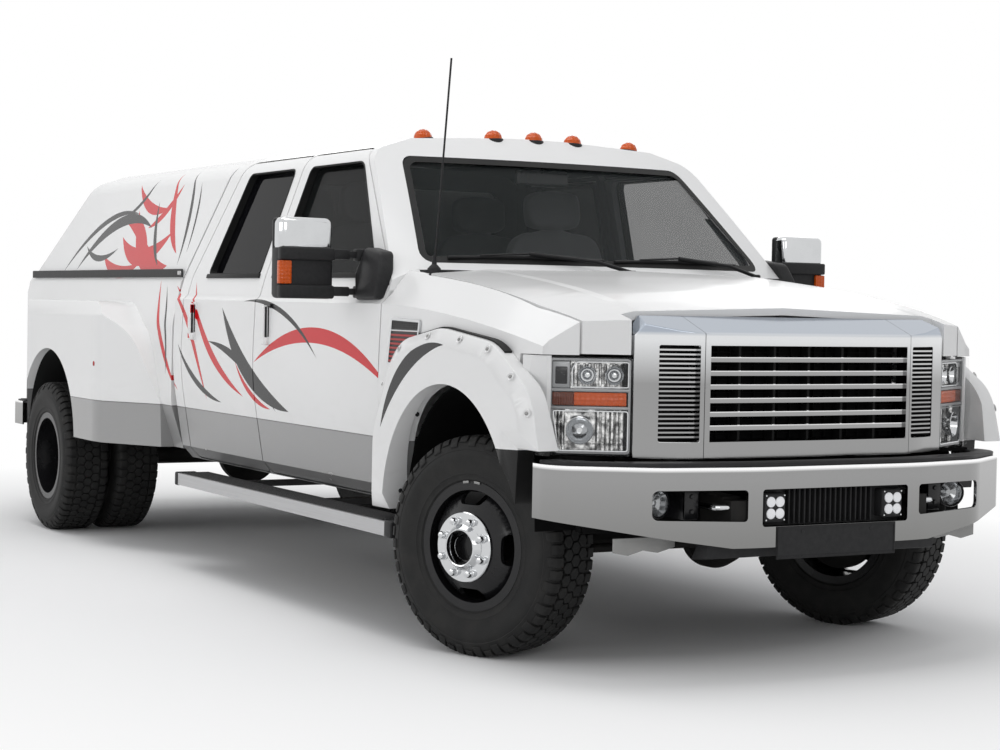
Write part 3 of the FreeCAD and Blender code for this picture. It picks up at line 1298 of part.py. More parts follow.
doc.recompute()
for item in doc.Objects:
    if "Invalid" in item.State or "Error" in item.State:
        raise RuntimeError(f"{item.Label} failed to build")
faulty = [piece.Label for piece in pieces if piece.Shape.isNull() or not piece.Shape.isValid()]
if faulty:
    raise RuntimeError(f"no valid shape: {', '.join(faulty)}")
for piece in pieces:
    piece.Shape.exportStep(f"parts/{piece.Label}.step")
print(len(pieces), "pieces written")
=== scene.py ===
# Looks of a crew-cab pickup with twin rear wheels and a moulded canopy over its bed.
# Lengths are in metres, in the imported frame: x runs forward, y to the vehicle's left, z up.
import json
import math

import bmesh
import bpy
from mathutils import Matrix, Vector

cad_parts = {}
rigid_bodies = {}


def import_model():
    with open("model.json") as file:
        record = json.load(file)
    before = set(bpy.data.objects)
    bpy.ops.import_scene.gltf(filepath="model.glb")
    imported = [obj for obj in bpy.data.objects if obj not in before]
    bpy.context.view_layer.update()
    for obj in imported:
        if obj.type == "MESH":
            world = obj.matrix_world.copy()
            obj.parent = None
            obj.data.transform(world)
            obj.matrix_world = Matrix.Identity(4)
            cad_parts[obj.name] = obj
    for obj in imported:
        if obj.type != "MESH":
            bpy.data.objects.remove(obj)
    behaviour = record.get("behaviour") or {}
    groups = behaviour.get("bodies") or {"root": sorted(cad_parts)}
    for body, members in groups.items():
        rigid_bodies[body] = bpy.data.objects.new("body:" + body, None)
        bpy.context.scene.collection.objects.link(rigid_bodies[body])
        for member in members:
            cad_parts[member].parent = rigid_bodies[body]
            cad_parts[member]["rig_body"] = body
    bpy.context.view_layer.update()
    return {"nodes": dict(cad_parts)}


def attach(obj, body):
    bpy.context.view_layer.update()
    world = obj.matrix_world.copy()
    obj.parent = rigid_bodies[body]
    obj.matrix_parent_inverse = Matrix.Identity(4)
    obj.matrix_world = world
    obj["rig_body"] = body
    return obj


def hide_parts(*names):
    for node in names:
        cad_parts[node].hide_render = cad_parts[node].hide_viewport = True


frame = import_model()

AXLE = 2.35
REAR_AXLE = AXLE - 4.379
WHEEL_HEIGHT = 0.402
STEER = math.radians(20)
KINGPIN = 0.75
FRONT_TRACK = 1.737
REAR_TRACK = 1.88
TWIN_SPACING = 0.28
TWO_TONE_HEIGHT = 0.748
BELT_HEIGHT = 1.385
SIDE_LEAN = -0.3038
FRONT_ARCH = (0.03, 0.502)
SIDES = {"left": 1, "right": -1}
BED_REAR = REAR_AXLE - 1.121
BAR_PITCH = 0.330 / 7
FIN_PITCH = 0.316 / 20
TREAD_PITCHES = 54
TINTS = {"red": (0.60, 0.008, 0.014), "black": (0.010, 0.010, 0.011)}


class Number:
    """One output of a shader node. Python's operators on it add Math nodes."""

    def __init__(self, shader, socket):
        self.shader = shader
        self.socket = socket

    def math(self, operation, *others):
        """A Math node on this value and others."""
        node = self.shader.tree.nodes.new("ShaderNodeMath")
        node.operation = operation
        for place, item in zip(node.inputs, (self, *others)):
            self.shader.feed(place, item)
        return Number(self.shader, node.outputs[0])

    def __add__(self, other):
        return self.math("ADD", other)

    def __sub__(self, other):
        return self.math("SUBTRACT", other)

    def __rsub__(self, other):
        return (self * -1) + other

    def __mul__(self, other):
        return self.math("MULTIPLY", other)

    def __truediv__(self, other):
        return self.math("DIVIDE", other)

    def __gt__(self, other):
        return self.math("GREATER_THAN", other)

    def __lt__(self, other):
        return self.math("LESS_THAN", other)

    __radd__ = __add__
    __rmul__ = __mul__

    def between(self, low, high):
        """1 where the value lies between low and high."""
        return (self > low) * (self < high)

    def fade(self, low, high):
        """0 up to low, 1 from high, straight between."""
        return self.shader.node("ShaderNodeMapRange", {"clamp": True}, {
            "Value": self, "From Min": low, "From Max": high})["Result"]


class Shader:
    """One material and the nodes that make it."""

    def __init__(self, name):
        self.material = bpy.data.materials.new(name)
        self.material.use_nodes = True
        self.tree = self.material.node_tree
        self.tree.nodes.clear()
        self.surface = self.tree.nodes.new("ShaderNodeBsdfPrincipled")
        output = self.tree.nodes.new("ShaderNodeOutputMaterial")
        self.tree.links.new(self.surface.outputs["BSDF"], output.inputs["Surface"])

    def feed(self, place, item):
        """Set a socket to a value, or link it to another node's output. One number stands for a grey."""
        if isinstance(item, Number):
            self.tree.links.new(item.socket, place)
        elif place.type == "RGBA":
            place.default_value = (*(item if isinstance(item, tuple) else [item] * 3), 1)
        else:
            place.default_value = item

    def node(self, kind, settings=None, inputs=None):
        """Add a node: its settings come first, then its sockets. Returns its outputs by name."""
        node = self.tree.nodes.new(kind)
        for name, value in (settings or {}).items():
            setattr(node, name, value)
        for name, item in (inputs or {}).items():
            place = next(place for place in node.inputs if place.name == name and place.enabled)
            self.feed(place, item)
        return {place.name: Number(self, place) for place in node.outputs if place.enabled}

    def place(self):
        """Object coordinates as three numbers."""
        spot = self.node("ShaderNodeTexCoord")["Object"]
        parts = self.node("ShaderNodeSeparateXYZ", None, {"Vector": spot})
        return parts["X"], parts["Y"], parts["Z"]

    def noise(self, scale, detail, stretch=(1, 1, 1)):
        """Cloudy numbers from 0 to 1 on Object coordinates."""
        spot = self.node("ShaderNodeTexCoord")["Object"]
        spot = self.node("ShaderNodeMapping", None, {"Vector": spot, "Scale": stretch})["Vector"]
        return self.node("ShaderNodeTexNoise", None, {
            "Vector": spot, "Scale": scale, "Detail": detail})["Fac"]

    def mix(self, share, first, second):
        """A colour between two, by a share."""
        return self.node("ShaderNodeMix", {"data_type": "RGBA"}, {
            "Factor": share, "A": first, "B": second})["Result"]

    def bump(self, height, strength, distance):
        """Lay a relief into the surface's normal."""
        normal = self.node("ShaderNodeBump", None, {
            "Height": height, "Strength": strength, "Distance": distance})["Normal"]
        self.set(Normal=normal)

    def set(self, **values):
        """Set the surface's own sockets; underscores stand for spaces."""
        for name, item in values.items():
            self.feed(self.surface.inputs[name.replace("_", " ")], item)
        return self


def crescent(x, z, outer, inner):
    """Mask of the sliver inside one circle and outside another; each is (x, z, radius)."""
    def reach(circle):
        across = x - circle[0]
        up = z - circle[1]
        return (across * across + up * up).math("SQRT") - circle[2]
    return (reach(outer) < 0) * (reach(inner) > 0)


def inside_cab(x, y, z):
    """Mask of what lies deeper in the cab than its painted panels."""
    above_belt = (z - BELT_HEIGHT).math("MAXIMUM", 0.0)
    side = 0.927 - above_belt * 0.304
    roof = 1.952 - (y - 0.606).math("MAXIMUM", 0.0) * 0.31
    screen = (AXLE - 0.482) - (z - 1.41) * 1.233 - y * y * 0.19
    rear = (AXLE - 2.878) + above_belt * 0.46
    across = (y < side) * (z < roof) * (z > 0.64)
    return across * (x < screen) * (x > rear) * (x < AXLE - 0.64)


def inside_bed(x, y, z):
    """Masks of the load bed's lining, and of the black wheel houses with the skirt behind them."""
    lining = (y < 0.905) * z.between(0.845, 1.372) * x.between(BED_REAR + 0.012, AXLE - 2.95)
    across = x - (REAR_AXLE + 0.06)
    up = (z - 0.512).math("MAXIMUM", 0.0)
    arch = ((across * across + up * up).math("SQRT") < 0.4835) * (y < 1.165)
    skirt = (x < REAR_AXLE - 0.43) * (z < 0.80)
    return lining, arch.math("MAXIMUM", skirt)


def body_paint(name, two_tone=False, graphics=None, creased=False, graphics_from=0.9):
    """Gloss white over grey, with faint road film low down, and generic swooshes on the flanks."""
    shader = Shader(name)
    x, side, z = shader.place()
    y = side.math("ABSOLUTE")
    white = shader.mix(shader.noise(2.5, 4), (0.79, 0.79, 0.785), 0.83)
    colour = white
    rough = 0.24
    metal = 0.0
    if two_tone:
        grey = shader.mix(shader.noise(900, 1), 0.30, (0.36, 0.36, 0.358))
        low = z < TWO_TONE_HEIGHT
        colour = shader.mix(low, white, grey)
        divide = z.between(TWO_TONE_HEIGHT, TWO_TONE_HEIGHT + 0.004)
        colour = shader.mix(divide, colour, 0.13)
        metal = low * 0.35
    for tint, marks in (graphics or {}).items():
        mask = crescent(x, z, *stroke(*marks[0]))
        for mark in marks[1:]:
            mask = mask.math("MAXIMUM", crescent(x, z, *stroke(*mark)))
        mask = mask * (y > graphics_from)
        colour = shader.mix(mask, colour, TINTS[tint])
        metal = metal * (1 - mask) if two_tone else metal
    film = (1 - z.fade(0.5, 1.0)) * shader.noise(9, 5, (1, 1, 2.5)).fade(0.5, 0.85) * 0.15
    colour = shader.mix(film, colour, (0.33, 0.31, 0.28))
    if two_tone:
        cabin = inside_cab(x, y, z)
        lining, houses = inside_bed(x, y, z)
        colour = shader.mix(cabin, colour, (0.13, 0.135, 0.14))
        dark = lining.math("MAXIMUM", houses)
        colour = shader.mix(dark, colour, 0.012)
        deep = dark.math("MAXIMUM", cabin)
        metal = metal * (1 - deep)
        rough = film * 0.4 + 0.24 + deep * 0.45
    toe = (x > AXLE + 0.40) * (z < 0.785)
    colour = shader.mix(toe, colour, 0.010)
    shader.set(Base_Color=colour, Metallic=metal, Roughness=rough)
    shader.set(Coat_Weight=0.12, Coat_Roughness=0.04, Specular_IOR_Level=0.25)
    relief = shader.noise(220, 2) * 0.02
    if creased:
        relief = relief + (1 - y.fade(0.61, 0.655)) * 12.0
    shader.bump(relief, 0.5 if creased else 0.03, 0.0012 if creased else 0.0006)
    return shader.material


def plain(name, dark, light, rough, metal, grain, relief, depth=0.0006, level=0.5, wear=None):
    """A material of two near tones, with its own grain and slightly uneven gloss."""
    shader = Shader(name)
    share = shader.noise(grain / 12, 4)
    colour = shader.mix(share, dark, light)
    gloss = shader.noise(grain / 30, 3) * 0.06 + (rough - 0.03)
    if wear:
        dust = shader.noise(6, 5).fade(0.45, 0.8) * wear[1]
        colour = shader.mix(dust, colour, wear[0])
        gloss = gloss + dust * 0.3
    shader.set(Base_Color=colour, Roughness=gloss, Metallic=metal, Specular_IOR_Level=level)
    shader.bump(shader.noise(grain, 3), relief, depth)
    return shader.material


def chrome_with_painted_reflections(name, seams=False, edge=None):
    """Bright plating with painted light: painted shade low down, a painted highlight on its shelf and a
    painted bluish sky reflection at its top, with seams or a painted highlight along an edge band if asked.
    """
    shader = Shader(name)
    _, side, z = shader.place()
    y = side.math("ABSOLUTE")
    # Painted shade: the plating darker low down, for the shaded ground it faces.
    colour = shader.mix(z.fade(0.45, 0.70), (0.22, 0.22, 0.215), 0.31)
    # Painted highlight: the shelf from 1.02 m up much lighter.
    colour = shader.mix(z.fade(1.02, 1.17), colour, (0.72, 0.73, 0.74))
    # Painted reflection: a bluish band of sky at the very top.
    colour = shader.mix(z.fade(1.185, 1.20), colour, (0.40, 0.44, 0.50))
    if edge:
        # Painted highlight: a bright band along the given edge heights.
        colour = shader.mix(z.fade(*edge), colour, 0.98)
    if seams:
        colour = shader.mix(y.between(0.4535, 0.4558), colour, 0.02)
    shader.set(Base_Color=colour, Metallic=1.0, Roughness=shader.noise(40, 2) * 0.05 + 0.09)
    shader.bump(shader.noise(8, 2), 0.02, 0.001)
    return shader.material


def grille_chrome_painted_highlights():
    """Plated bars and fins with painted highlights: a bright strip along each bar's top and fins lighter
    higher up; the posts and plates behind them are black.
    """
    shader = Shader("grille_chrome_painted_highlights")
    x, side, z = shader.place()
    outer = side.math("ABSOLUTE") > 0.46
    off_bar = ((z - 0.822) / BAR_PITCH + 0.5).math("FRACT") - 0.5
    off_fin = ((z - 0.829) / FIN_PITCH).math("FRACT") - 0.5
    bar = (off_bar.math("ABSOLUTE") * BAR_PITCH < 0.0092) * z.between(0.84, 1.14)
    fin = (off_fin.math("ABSOLUTE") * FIN_PITCH < 0.0036) * (x > AXLE + 0.715)
    shown = bar * (1 - outer) + fin * outer
    # Painted highlight: a bright strip along the top of each bar.
    crown = off_bar.fade(0.09, 0.17) * (1 - outer)
    colour = shader.mix(crown, 0.34, 0.95)
    # Painted highlight: the fins lighter towards the top.
    colour = shader.mix(outer * z.fade(0.98, 1.12), colour, 0.60)
    colour = shader.mix(shown, 0.008, colour)
    shader.set(Base_Color=colour, Metallic=shown, Roughness=0.55 - shown * 0.43, Specular_IOR_Level=0.1)
    shader.bump(shader.noise(20, 2), 0.02, 0.001)
    return shader.material


def board_metal():
    """Brushed face on a running board, black on its top, its underside and its brackets."""
    shader = Shader("running_board")
    _, side, _ = shader.place()
    face = side.math("ABSOLUTE").fade(1.064, 1.068)
    brushed = shader.noise(40, 4, (0.05, 6, 6))
    metal = shader.mix(brushed, (0.40, 0.40, 0.405), (0.52, 0.52, 0.53))
    colour = shader.mix(face, (0.022, 0.022, 0.023), metal)
    shader.set(Base_Color=colour, Metallic=face * 0.9, Roughness=0.55 - face * 0.2)
    shader.bump(brushed, 0.08, 0.0005)
    return shader.material


def clear(name, tint, alpha, rough=0.03, ribs=None, level=0.3):
    """Glass or lens that lets part of the light through."""
    shader = Shader(name)
    smear = shader.noise(5, 3).fade(0.4, 0.9) * 0.05
    shader.set(Base_Color=tint, Alpha=smear * 0.4 + alpha, Roughness=smear + rough)
    shader.set(Specular_IOR_Level=level)
    if ribs:
        _, y, z = shader.place()
        wave = (y * ribs[0]).math("SINE") + (z * ribs[1]).math("SINE")
        shader.bump(wave, 0.35, 0.002)
    else:
        shader.bump(shader.noise(30, 1), 0.02, 0.0005)
    return shader.material


def glow(name, colour, strength):
    """Lit-looking lamp face."""
    shader = Shader(name)
    _, y, z = shader.place()
    wave = (y * 900).math("SINE") * (z * 900).math("SINE") * 0.5 + 0.5
    shader.set(Base_Color=shader.mix(wave, colour, 0.9), Roughness=0.2, Coat_Weight=1.0)
    shader.set(Emission_Color=colour, Emission_Strength=strength)
    shader.bump(wave, 0.4, 0.001)
    return shader.material


def tyre_rubber():
    """Black rubber, dusty in its tread."""
    shader = Shader("tyre_rubber")
    dust = shader.noise(14, 5).fade(0.4, 0.85)
    colour = shader.mix(dust * 0.6, 0.014, (0.040, 0.039, 0.037))
    shader.set(Base_Color=colour, Roughness=dust * 0.15 + 0.6, Specular_IOR_Level=0.2)
    shader.bump(shader.noise(500, 3), 0.25, 0.0006)
    return shader.material


def cloth():
    """Dark woven seat cloth."""
    shader = Shader("seat_fabric")
    x, y, z = shader.place()
    weave = (y * 1400).math("SINE") * ((z + x) * 1400).math("SINE") * 0.5 + 0.5
    colour = shader.mix(weave, (0.16, 0.165, 0.17), (0.27, 0.275, 0.28))
    colour = shader.mix(shader.noise(7, 4) * 0.4, colour, (0.12, 0.12, 0.125))
    shader.set(Base_Color=colour, Roughness=0.9, Sheen_Weight=0.3, Specular_IOR_Level=0.2)
    shader.bump(weave, 0.3, 0.0008)
    return shader.material


def lamp_reflector():
    """Bright faceted reflector of fine upright flutes."""
    shader = Shader("lamp_reflector")
    x, y, z = shader.place()
    flute = ((y - x) * 300).math("SINE")
    cross = (z * 210).math("SINE")
    colour = shader.mix(shader.noise(45, 3).fade(0.35, 0.65), 0.12, (0.95, 0.95, 0.94))
    shader.set(Base_Color=colour, Metallic=0.9, Roughness=0.16)
    shader.bump(flute + cross * 0.5, 0.5, 0.002)
    return shader.material


def stroke(start, end, bulge, thick):
    """Two circles through both ends of a stroke that swells to its left, or to its right if negative.

    The ends are (x, z) from the front axle; the bulge is the outer rise and thick the stroke's middle.
    """
    if bulge < 0:
        start, end, bulge, thick = end, start, -bulge, -thick
    start = Vector((AXLE + start[0], start[1]))
    end = Vector((AXLE + end[0], end[1]))
    half = (end - start).length / 2
    middle = (start + end) / 2
    left = Vector((start.y - end.y, end.x - start.x)).normalized()
    circles = []
    for rise in (bulge, bulge - thick):
        radius = (half * half + rise * rise) / (2 * rise)
        centre = middle - left * (radius - rise)
        circles.append((centre.x, centre.y, radius))
    return circles


FLANK = {
    "red": [((-0.50, 0.935), (-1.88, 1.00), -0.20, -0.066), ((-2.02, 0.84), (-2.72, 1.36), 0.10, 0.045),
            ((-2.48, 0.80), (-2.98, 1.34), -0.09, -0.036), ((-2.86, 0.83), (-3.22, 1.37), 0.08, 0.040),
            ((-1.72, 0.80), (-2.10, 1.00), 0.06, 0.028)],
    "black": [((-1.52, 0.80), (-2.28, 1.24), 0.13, 0.090), ((-1.66, 0.79), (-2.44, 1.08), -0.08, -0.042),
              ((-2.02, 1.27), (-1.20, 1.04), 0.09, 0.024), ((-0.48, 0.80), (0.02, 1.13), 0.12, 0.062),
              ((-2.30, 0.80), (-2.84, 1.06), 0.07, 0.034), ((-3.02, 0.90), (-3.12, 1.34), -0.05, -0.024)],
}
CANOPY = {
    "red": [((-3.20, 1.44), (-3.88, 1.74), 0.17, 0.115), ((-3.26, 1.62), (-4.02, 1.60), 0.17, 0.095),
            ((-3.50, 1.43), (-4.10, 1.70), -0.11, -0.085), ((-3.12, 1.50), (-3.42, 1.92), 0.09, 0.060),
            ((-3.42, 1.74), (-3.98, 1.88), 0.09, 0.055), ((-3.62, 1.46), (-4.24, 1.50), 0.10, 0.065),
            ((-3.30, 1.86), (-3.66, 1.64), 0.06, 0.045)],
    "black": [((-3.60, 1.64), (-4.66, 1.42), -0.18, -0.065), ((-3.86, 1.72), (-4.90, 1.40), -0.14, -0.036),
              ((-3.06, 1.44), (-3.20, 1.92), -0.06, -0.036), ((-3.34, 1.44), (-3.60, 1.78), 0.06, 0.036),
              ((-2.98, 1.50), (-3.06, 1.86), -0.04, -0.022), ((-4.04, 1.54), (-4.60, 1.56), 0.08, 0.034),
              ((-3.72, 1.90), (-4.12, 1.70), 0.05, 0.026)],
}

PAINT = body_paint("white_over_grey", True, FLANK)
FENDER_PAINT = body_paint("fender_white_over_grey", True)
CANOPY_PAINT = body_paint("canopy_white", False, CANOPY, graphics_from=0.72)
FLARE_PAINT = body_paint("flare_white", False, FLANK)
PLAIN_PAINT = body_paint("plain_white")
HOOD_PAINT = body_paint("hood_white", creased=True)
CHROME = plain("chrome", 0.40, 0.46, 0.10, 1.0, 150, 0.02, 0.0003)
BRIGHT = plain("bright_chrome", (0.56, 0.57, 0.58), (0.66, 0.67, 0.68), 0.10, 1.0, 120, 0.02, 0.0003)
# Chrome with painted shade low down, a painted highlight on the shelf and a painted sky reflection; the edge
# bands are painted highlights along the bumpers' tops.
SURROUND = chrome_with_painted_reflections("surround_painted_reflection_chrome", seams=True)
BUMPER = chrome_with_painted_reflections("bumper_painted_reflection_chrome", edge=(0.728, 0.738))
REAR_BUMPER = chrome_with_painted_reflections("rear_bumper_painted_reflection_chrome", edge=(0.625, 0.635))
GRILLE = grille_chrome_painted_highlights()
BOARD = board_metal()
BLACK_PLASTIC = plain("black_plastic", (0.016, 0.016, 0.017), (0.032, 0.032, 0.033), 0.45, 0.0, 700, 0.2,
                      level=0.15)
GLOSS_BLACK = plain("gloss_black", (0.006, 0.006, 0.007), (0.010, 0.010, 0.011), 0.2, 0.0, 200, 0.02,
                    level=0.3)
MATT_BLACK = plain("matt_black", 0.004, 0.008, 0.8, 0.0, 200, 0.1, level=0.05)
RUBBER_SEAL = plain("rubber_seal", 0.012, 0.022, 0.5, 0.0, 400, 0.1, level=0.12)
BLACK_STEEL = plain("black_steel", (0.005, 0.005, 0.006), (0.011, 0.011, 0.012), 0.24, 0.0, 260, 0.05,
                    level=0.35, wear=((0.05, 0.048, 0.046), 0.12))
GREY_STEEL = plain("grey_steel", 0.20, (0.34, 0.34, 0.33), 0.5, 0.6, 90, 0.4)
UNDER_STEEL = plain("under_steel", 0.008, (0.022, 0.021, 0.020), 0.6, 0.2, 160, 0.3,
                    level=0.15, wear=((0.06, 0.055, 0.05), 0.3))
CAST_IRON = plain("cast_iron", (0.05, 0.045, 0.04), (0.10, 0.09, 0.08), 0.7, 0.5, 120, 0.6, 0.001)
EXHAUST_STEEL = plain("exhaust_steel", (0.22, 0.20, 0.18), (0.40, 0.37, 0.33), 0.45, 0.9, 60, 0.2)
RUBBER = tyre_rubber()
SEAT_CLOTH = cloth()
SIDE_GLASS = clear("tinted_side_glass", (0.006, 0.007, 0.007), 0.52, level=0.08)
REAR_GLASS = clear("dark_rear_glass", (0.004, 0.004, 0.005), 0.90, level=0.08)
SCREEN_GLASS = clear("windscreen_glass", (0.05, 0.06, 0.06), 0.12, level=0.3)
CLEAR_LENS = clear("clear_lens", (0.60, 0.61, 0.62), 0.05, 0.02)
FOG_LENS = clear("fog_lens", (0.30, 0.31, 0.32), 0.35, 0.02)
AMBER = clear("amber_lens", (0.60, 0.085, 0.003), 0.99, 0.1, (420, 420))
DARK_AMBER = clear("dark_amber", (0.13, 0.022, 0.004), 0.99, 0.15, (900, 300))
RED_LENS = clear("red_lens", (0.36, 0.004, 0.004), 0.99, 0.1, (420, 420))
REFLECTOR = lamp_reflector()
LAMP_GREY = plain("lamp_grey", (0.26, 0.265, 0.27), (0.33, 0.335, 0.34), 0.3, 0.3, 90, 0.05)
LAMP_WHITE = glow("work_lamp_face", (0.78, 0.79, 0.82), 0.12)
MIRROR_GLASS = plain("mirror_glass", (0.75, 0.76, 0.77), (0.80, 0.80, 0.81), 0.06, 1.0, 60, 0.01)
VENT_RED = plain("vent_red", (0.30, 0.01, 0.01), (0.42, 0.015, 0.015), 0.35, 0.1, 200, 0.05)
DARK_TRIM = plain("dark_interior", (0.10, 0.104, 0.11), (0.15, 0.155, 0.16), 0.6, 0.0, 500, 0.25)

MIRROR = Matrix.Scale(-1, 4, (0, 1, 0))
SIDE_PLACE = {"left": Matrix(), "right": MIRROR}
UPRIGHT = Matrix.Rotation(math.pi / 2, 4, "X")
FORWARD = Matrix.Rotation(-math.pi / 2, 4, "Z")
PLANES = {
    "xz": lambda across, up, level: (across, level, up),
    "yz": lambda across, up, level: (level, across, up),
    "xy": lambda across, up, level: (across, up, level),
}


def at(x, y, z):
    """A place measured from the ground point under the front axle."""
    return Vector((AXLE + x, y, z))


def moved(x, y, z):
    """A shift to a place measured from the front axle."""
    return Matrix.Translation(at(x, y, z))


def rounded(work, width=0.0, segments=2, tint=0, sharp=25):
    """Round a part's sharp edges and give all its faces one of the piece's materials."""
    if width:
        edges = [edge for edge in work.edges
                 if len(edge.link_faces) == 2 and edge.calc_face_angle(0) > math.radians(sharp)]
        bmesh.ops.bevel(work, geom=edges, offset=width, offset_type="OFFSET", affect="EDGES",
                        segments=segments, profile=0.5, material=-1, clamp_overlap=True)
    for face in work.faces:
        face.material_index = tint
    return work


def block(low, high, width=0.0, segments=2, tint=0):
    """Block between two corners."""
    work = bmesh.new()
    bmesh.ops.create_cube(work, size=1)
    low = Vector(low)
    high = Vector(high)
    bmesh.ops.scale(work, vec=high - low, verts=work.verts)
    bmesh.ops.translate(work, vec=(low + high) / 2, verts=work.verts)
    return rounded(work, width, segments, tint)


def new_verts(grown):
    """The vertices among what an operator made."""
    return [item for item in grown if isinstance(item, bmesh.types.BMVert)]


def round_corners(work, corner):
    """Round the corners of a flat outline."""
    bmesh.ops.bevel(work, geom=list(work.verts), offset=corner, offset_type="OFFSET", affect="VERTICES",
                    segments=5, profile=0.5, material=-1)


def thicken(work, way):
    """Pull flat faces out into a body."""
    grown = bmesh.ops.extrude_face_region(work, geom=list(work.faces))["geom"]
    bmesh.ops.translate(work, vec=way, verts=new_verts(grown))
    bmesh.ops.recalc_face_normals(work, faces=work.faces)


def slab(plane, points, low, high, width=0.0, segments=2, tint=0, corner=0.0):
    """Plate with an outline in a plane; corner rounds the outline, width the edges."""
    work = bmesh.new()
    place = PLANES[plane]
    work.faces.new([work.verts.new(place(*point, low)) for point in points])
    if corner:
        round_corners(work, corner)
    thicken(work, place(0, 0, high - low))
    return rounded(work, width, segments, tint)


def filleted(points):
    """Outline of (across, up) or (across, up, radius) with each corner that has a radius rounded."""
    path = []
    steps = 6
    for number, (across, up, *radius) in enumerate(points):
        spot = Vector((across, up))
        if not radius:
            path.append(tuple(spot))
            continue
        before = (Vector(points[number - 1][:2]) - spot).normalized()
        after = (Vector(points[(number + 1) % len(points)][:2]) - spot).normalized()
        half = before.angle(after) / 2
        centre = spot + (before + after).normalized() * radius[0] / math.sin(half)
        first = spot + before * radius[0] / math.tan(half) - centre
        last = spot + after * radius[0] / math.tan(half) - centre
        begin = math.atan2(first.y, first.x)
        sweep = math.atan2(first.x * last.y - first.y * last.x, first.dot(last))
        for step in range(steps + 1):
            turn = begin + sweep * step / steps
            path.append((centre.x + radius[0] * math.cos(turn), centre.y + radius[0] * math.sin(turn)))
    return path


def ring(points, corner, inward, outward, depth):
    """Frame along an outline of (x, z), as deep as given along y from 0."""
    work = bmesh.new()
    work.faces.new([work.verts.new((x, 0, z)) for x, z in points])
    round_corners(work, corner)
    kept = []
    if outward:
        before = list(work.faces)
        bmesh.ops.inset_region(work, faces=before, thickness=outward, use_even_offset=True, use_outset=True,
                               use_boundary=True)
        kept += [face for face in work.faces if face not in before]
    if inward:
        middle = [face for face in work.faces if face not in kept]
        kept += bmesh.ops.inset_region(work, faces=middle, thickness=inward, use_even_offset=True,
                                       use_boundary=True)["faces"]
    bmesh.ops.delete(work, geom=[face for face in work.faces if face not in kept], context="FACES")
    thicken(work, (0, depth, 0))
    return work


def turned(points, steps, closed=False, tint=0, angle=math.tau):
    """Shape spun about the y axis from points of (radius, y)."""
    work = bmesh.new()
    verts = [work.verts.new((0, along, radius)) for radius, along in points]
    pairs = list(zip(verts, verts[1:]))
    if closed:
        pairs.append((verts[-1], verts[0]))
    edges = [work.edges.new(pair) for pair in pairs]
    bmesh.ops.spin(work, geom=verts + edges, cent=(0, 0, 0), axis=(0, 1, 0), angle=angle, steps=steps,
                   use_merge=angle == math.tau)
    bmesh.ops.remove_doubles(work, verts=work.verts, dist=1e-6)
    bmesh.ops.recalc_face_normals(work, faces=work.faces)
    return rounded(work, tint=tint)


def drum(radius, low, high, edge, steps, tint=0):
    """Round block about the y axis."""
    points = [(0, low), (radius - edge, low), (radius, low + edge), (radius, high - edge),
              (radius - edge, high), (0, high)]
    return turned(points, steps, tint=tint)


def tube(points, radius, sides=10):
    """Round bar along points."""
    work = bmesh.new()
    bmesh.ops.create_circle(work, cap_ends=True, radius=radius, segments=sides)
    frames = []
    for number, point in enumerate(points):
        before = Vector(points[max(number - 1, 0)])
        after = Vector(points[min(number + 1, len(points) - 1)])
        turn = (after - before).to_track_quat("Z", "Y").to_matrix().to_4x4()
        frames.append(Matrix.Translation(point) @ turn)
    bmesh.ops.transform(work, matrix=frames[0], verts=work.verts)
    face = work.faces[:][0]
    for before, after in zip(frames, frames[1:]):
        grown = bmesh.ops.extrude_face_region(work, geom=[face])["geom"]
        bmesh.ops.transform(work, matrix=after @ before.inverted(), verts=new_verts(grown))
        caps = [item for item in grown if isinstance(item, bmesh.types.BMFace)]
        face = next(item for item in caps if len(item.verts) == sides)
    bmesh.ops.recalc_face_normals(work, faces=work.faces)
    return work


def add(work, part, *places):
    """Join a part to others once for each place; a mirrored place turns its faces round."""
    mesh = bpy.data.meshes.new("part")
    part.to_mesh(mesh)
    part.free()
    for place in places or [Matrix()]:
        copy = bmesh.new()
        copy.from_mesh(mesh)
        bmesh.ops.transform(copy, matrix=place, verts=copy.verts)
        if place.determinant() < 0:
            bmesh.ops.reverse_faces(copy, faces=copy.faces)
        moved_mesh = bpy.data.meshes.new("moved")
        copy.to_mesh(moved_mesh)
        copy.free()
        work.from_mesh(moved_mesh)
        bpy.data.meshes.remove(moved_mesh)
    bpy.data.meshes.remove(mesh)
    return work


def gather(*parts):
    """One bmesh of several parts."""
    work = bmesh.new()
    for part in parts:
        add(work, part)
    return work


def flat(x, y, z):
    """A place in a part's own frame."""
    return Vector((x, y, z))


def ahead(points):
    """Outline points (x, other) moved forward to the front axle."""
    return [(AXLE + x, other) for x, other in points]


def put(part, *places):
    """A part once at each place, and nothing else."""
    return add(bmesh.new(), part, *places)


def blocks(rows, place=at):
    """Blocks from rows of two corners and what rounds and tints each."""
    return gather(*[block(place(*low), place(*high), *rest) for low, high, *rest in rows])


def shift(x, y, z):
    """A shift from the frame's origin."""
    return Matrix.Translation((x, y, z))


def spin(axis, degrees):
    """A turn about an axis of the frame, or about a direction."""
    return Matrix.Rotation(math.radians(degrees), 4, axis)


def arc(centre, radius, start, sweep, steps):
    """Points along a circle, from a start angle through a sweep, both in degrees."""
    turns = [math.radians(start + sweep * step / steps) for step in range(steps + 1)]
    return [(centre[0] + radius * math.cos(turn), centre[1] + radius * math.sin(turn)) for turn in turns]


def both(part):
    """A part and its mirror image."""
    return put(part, Matrix(), MIRROR)


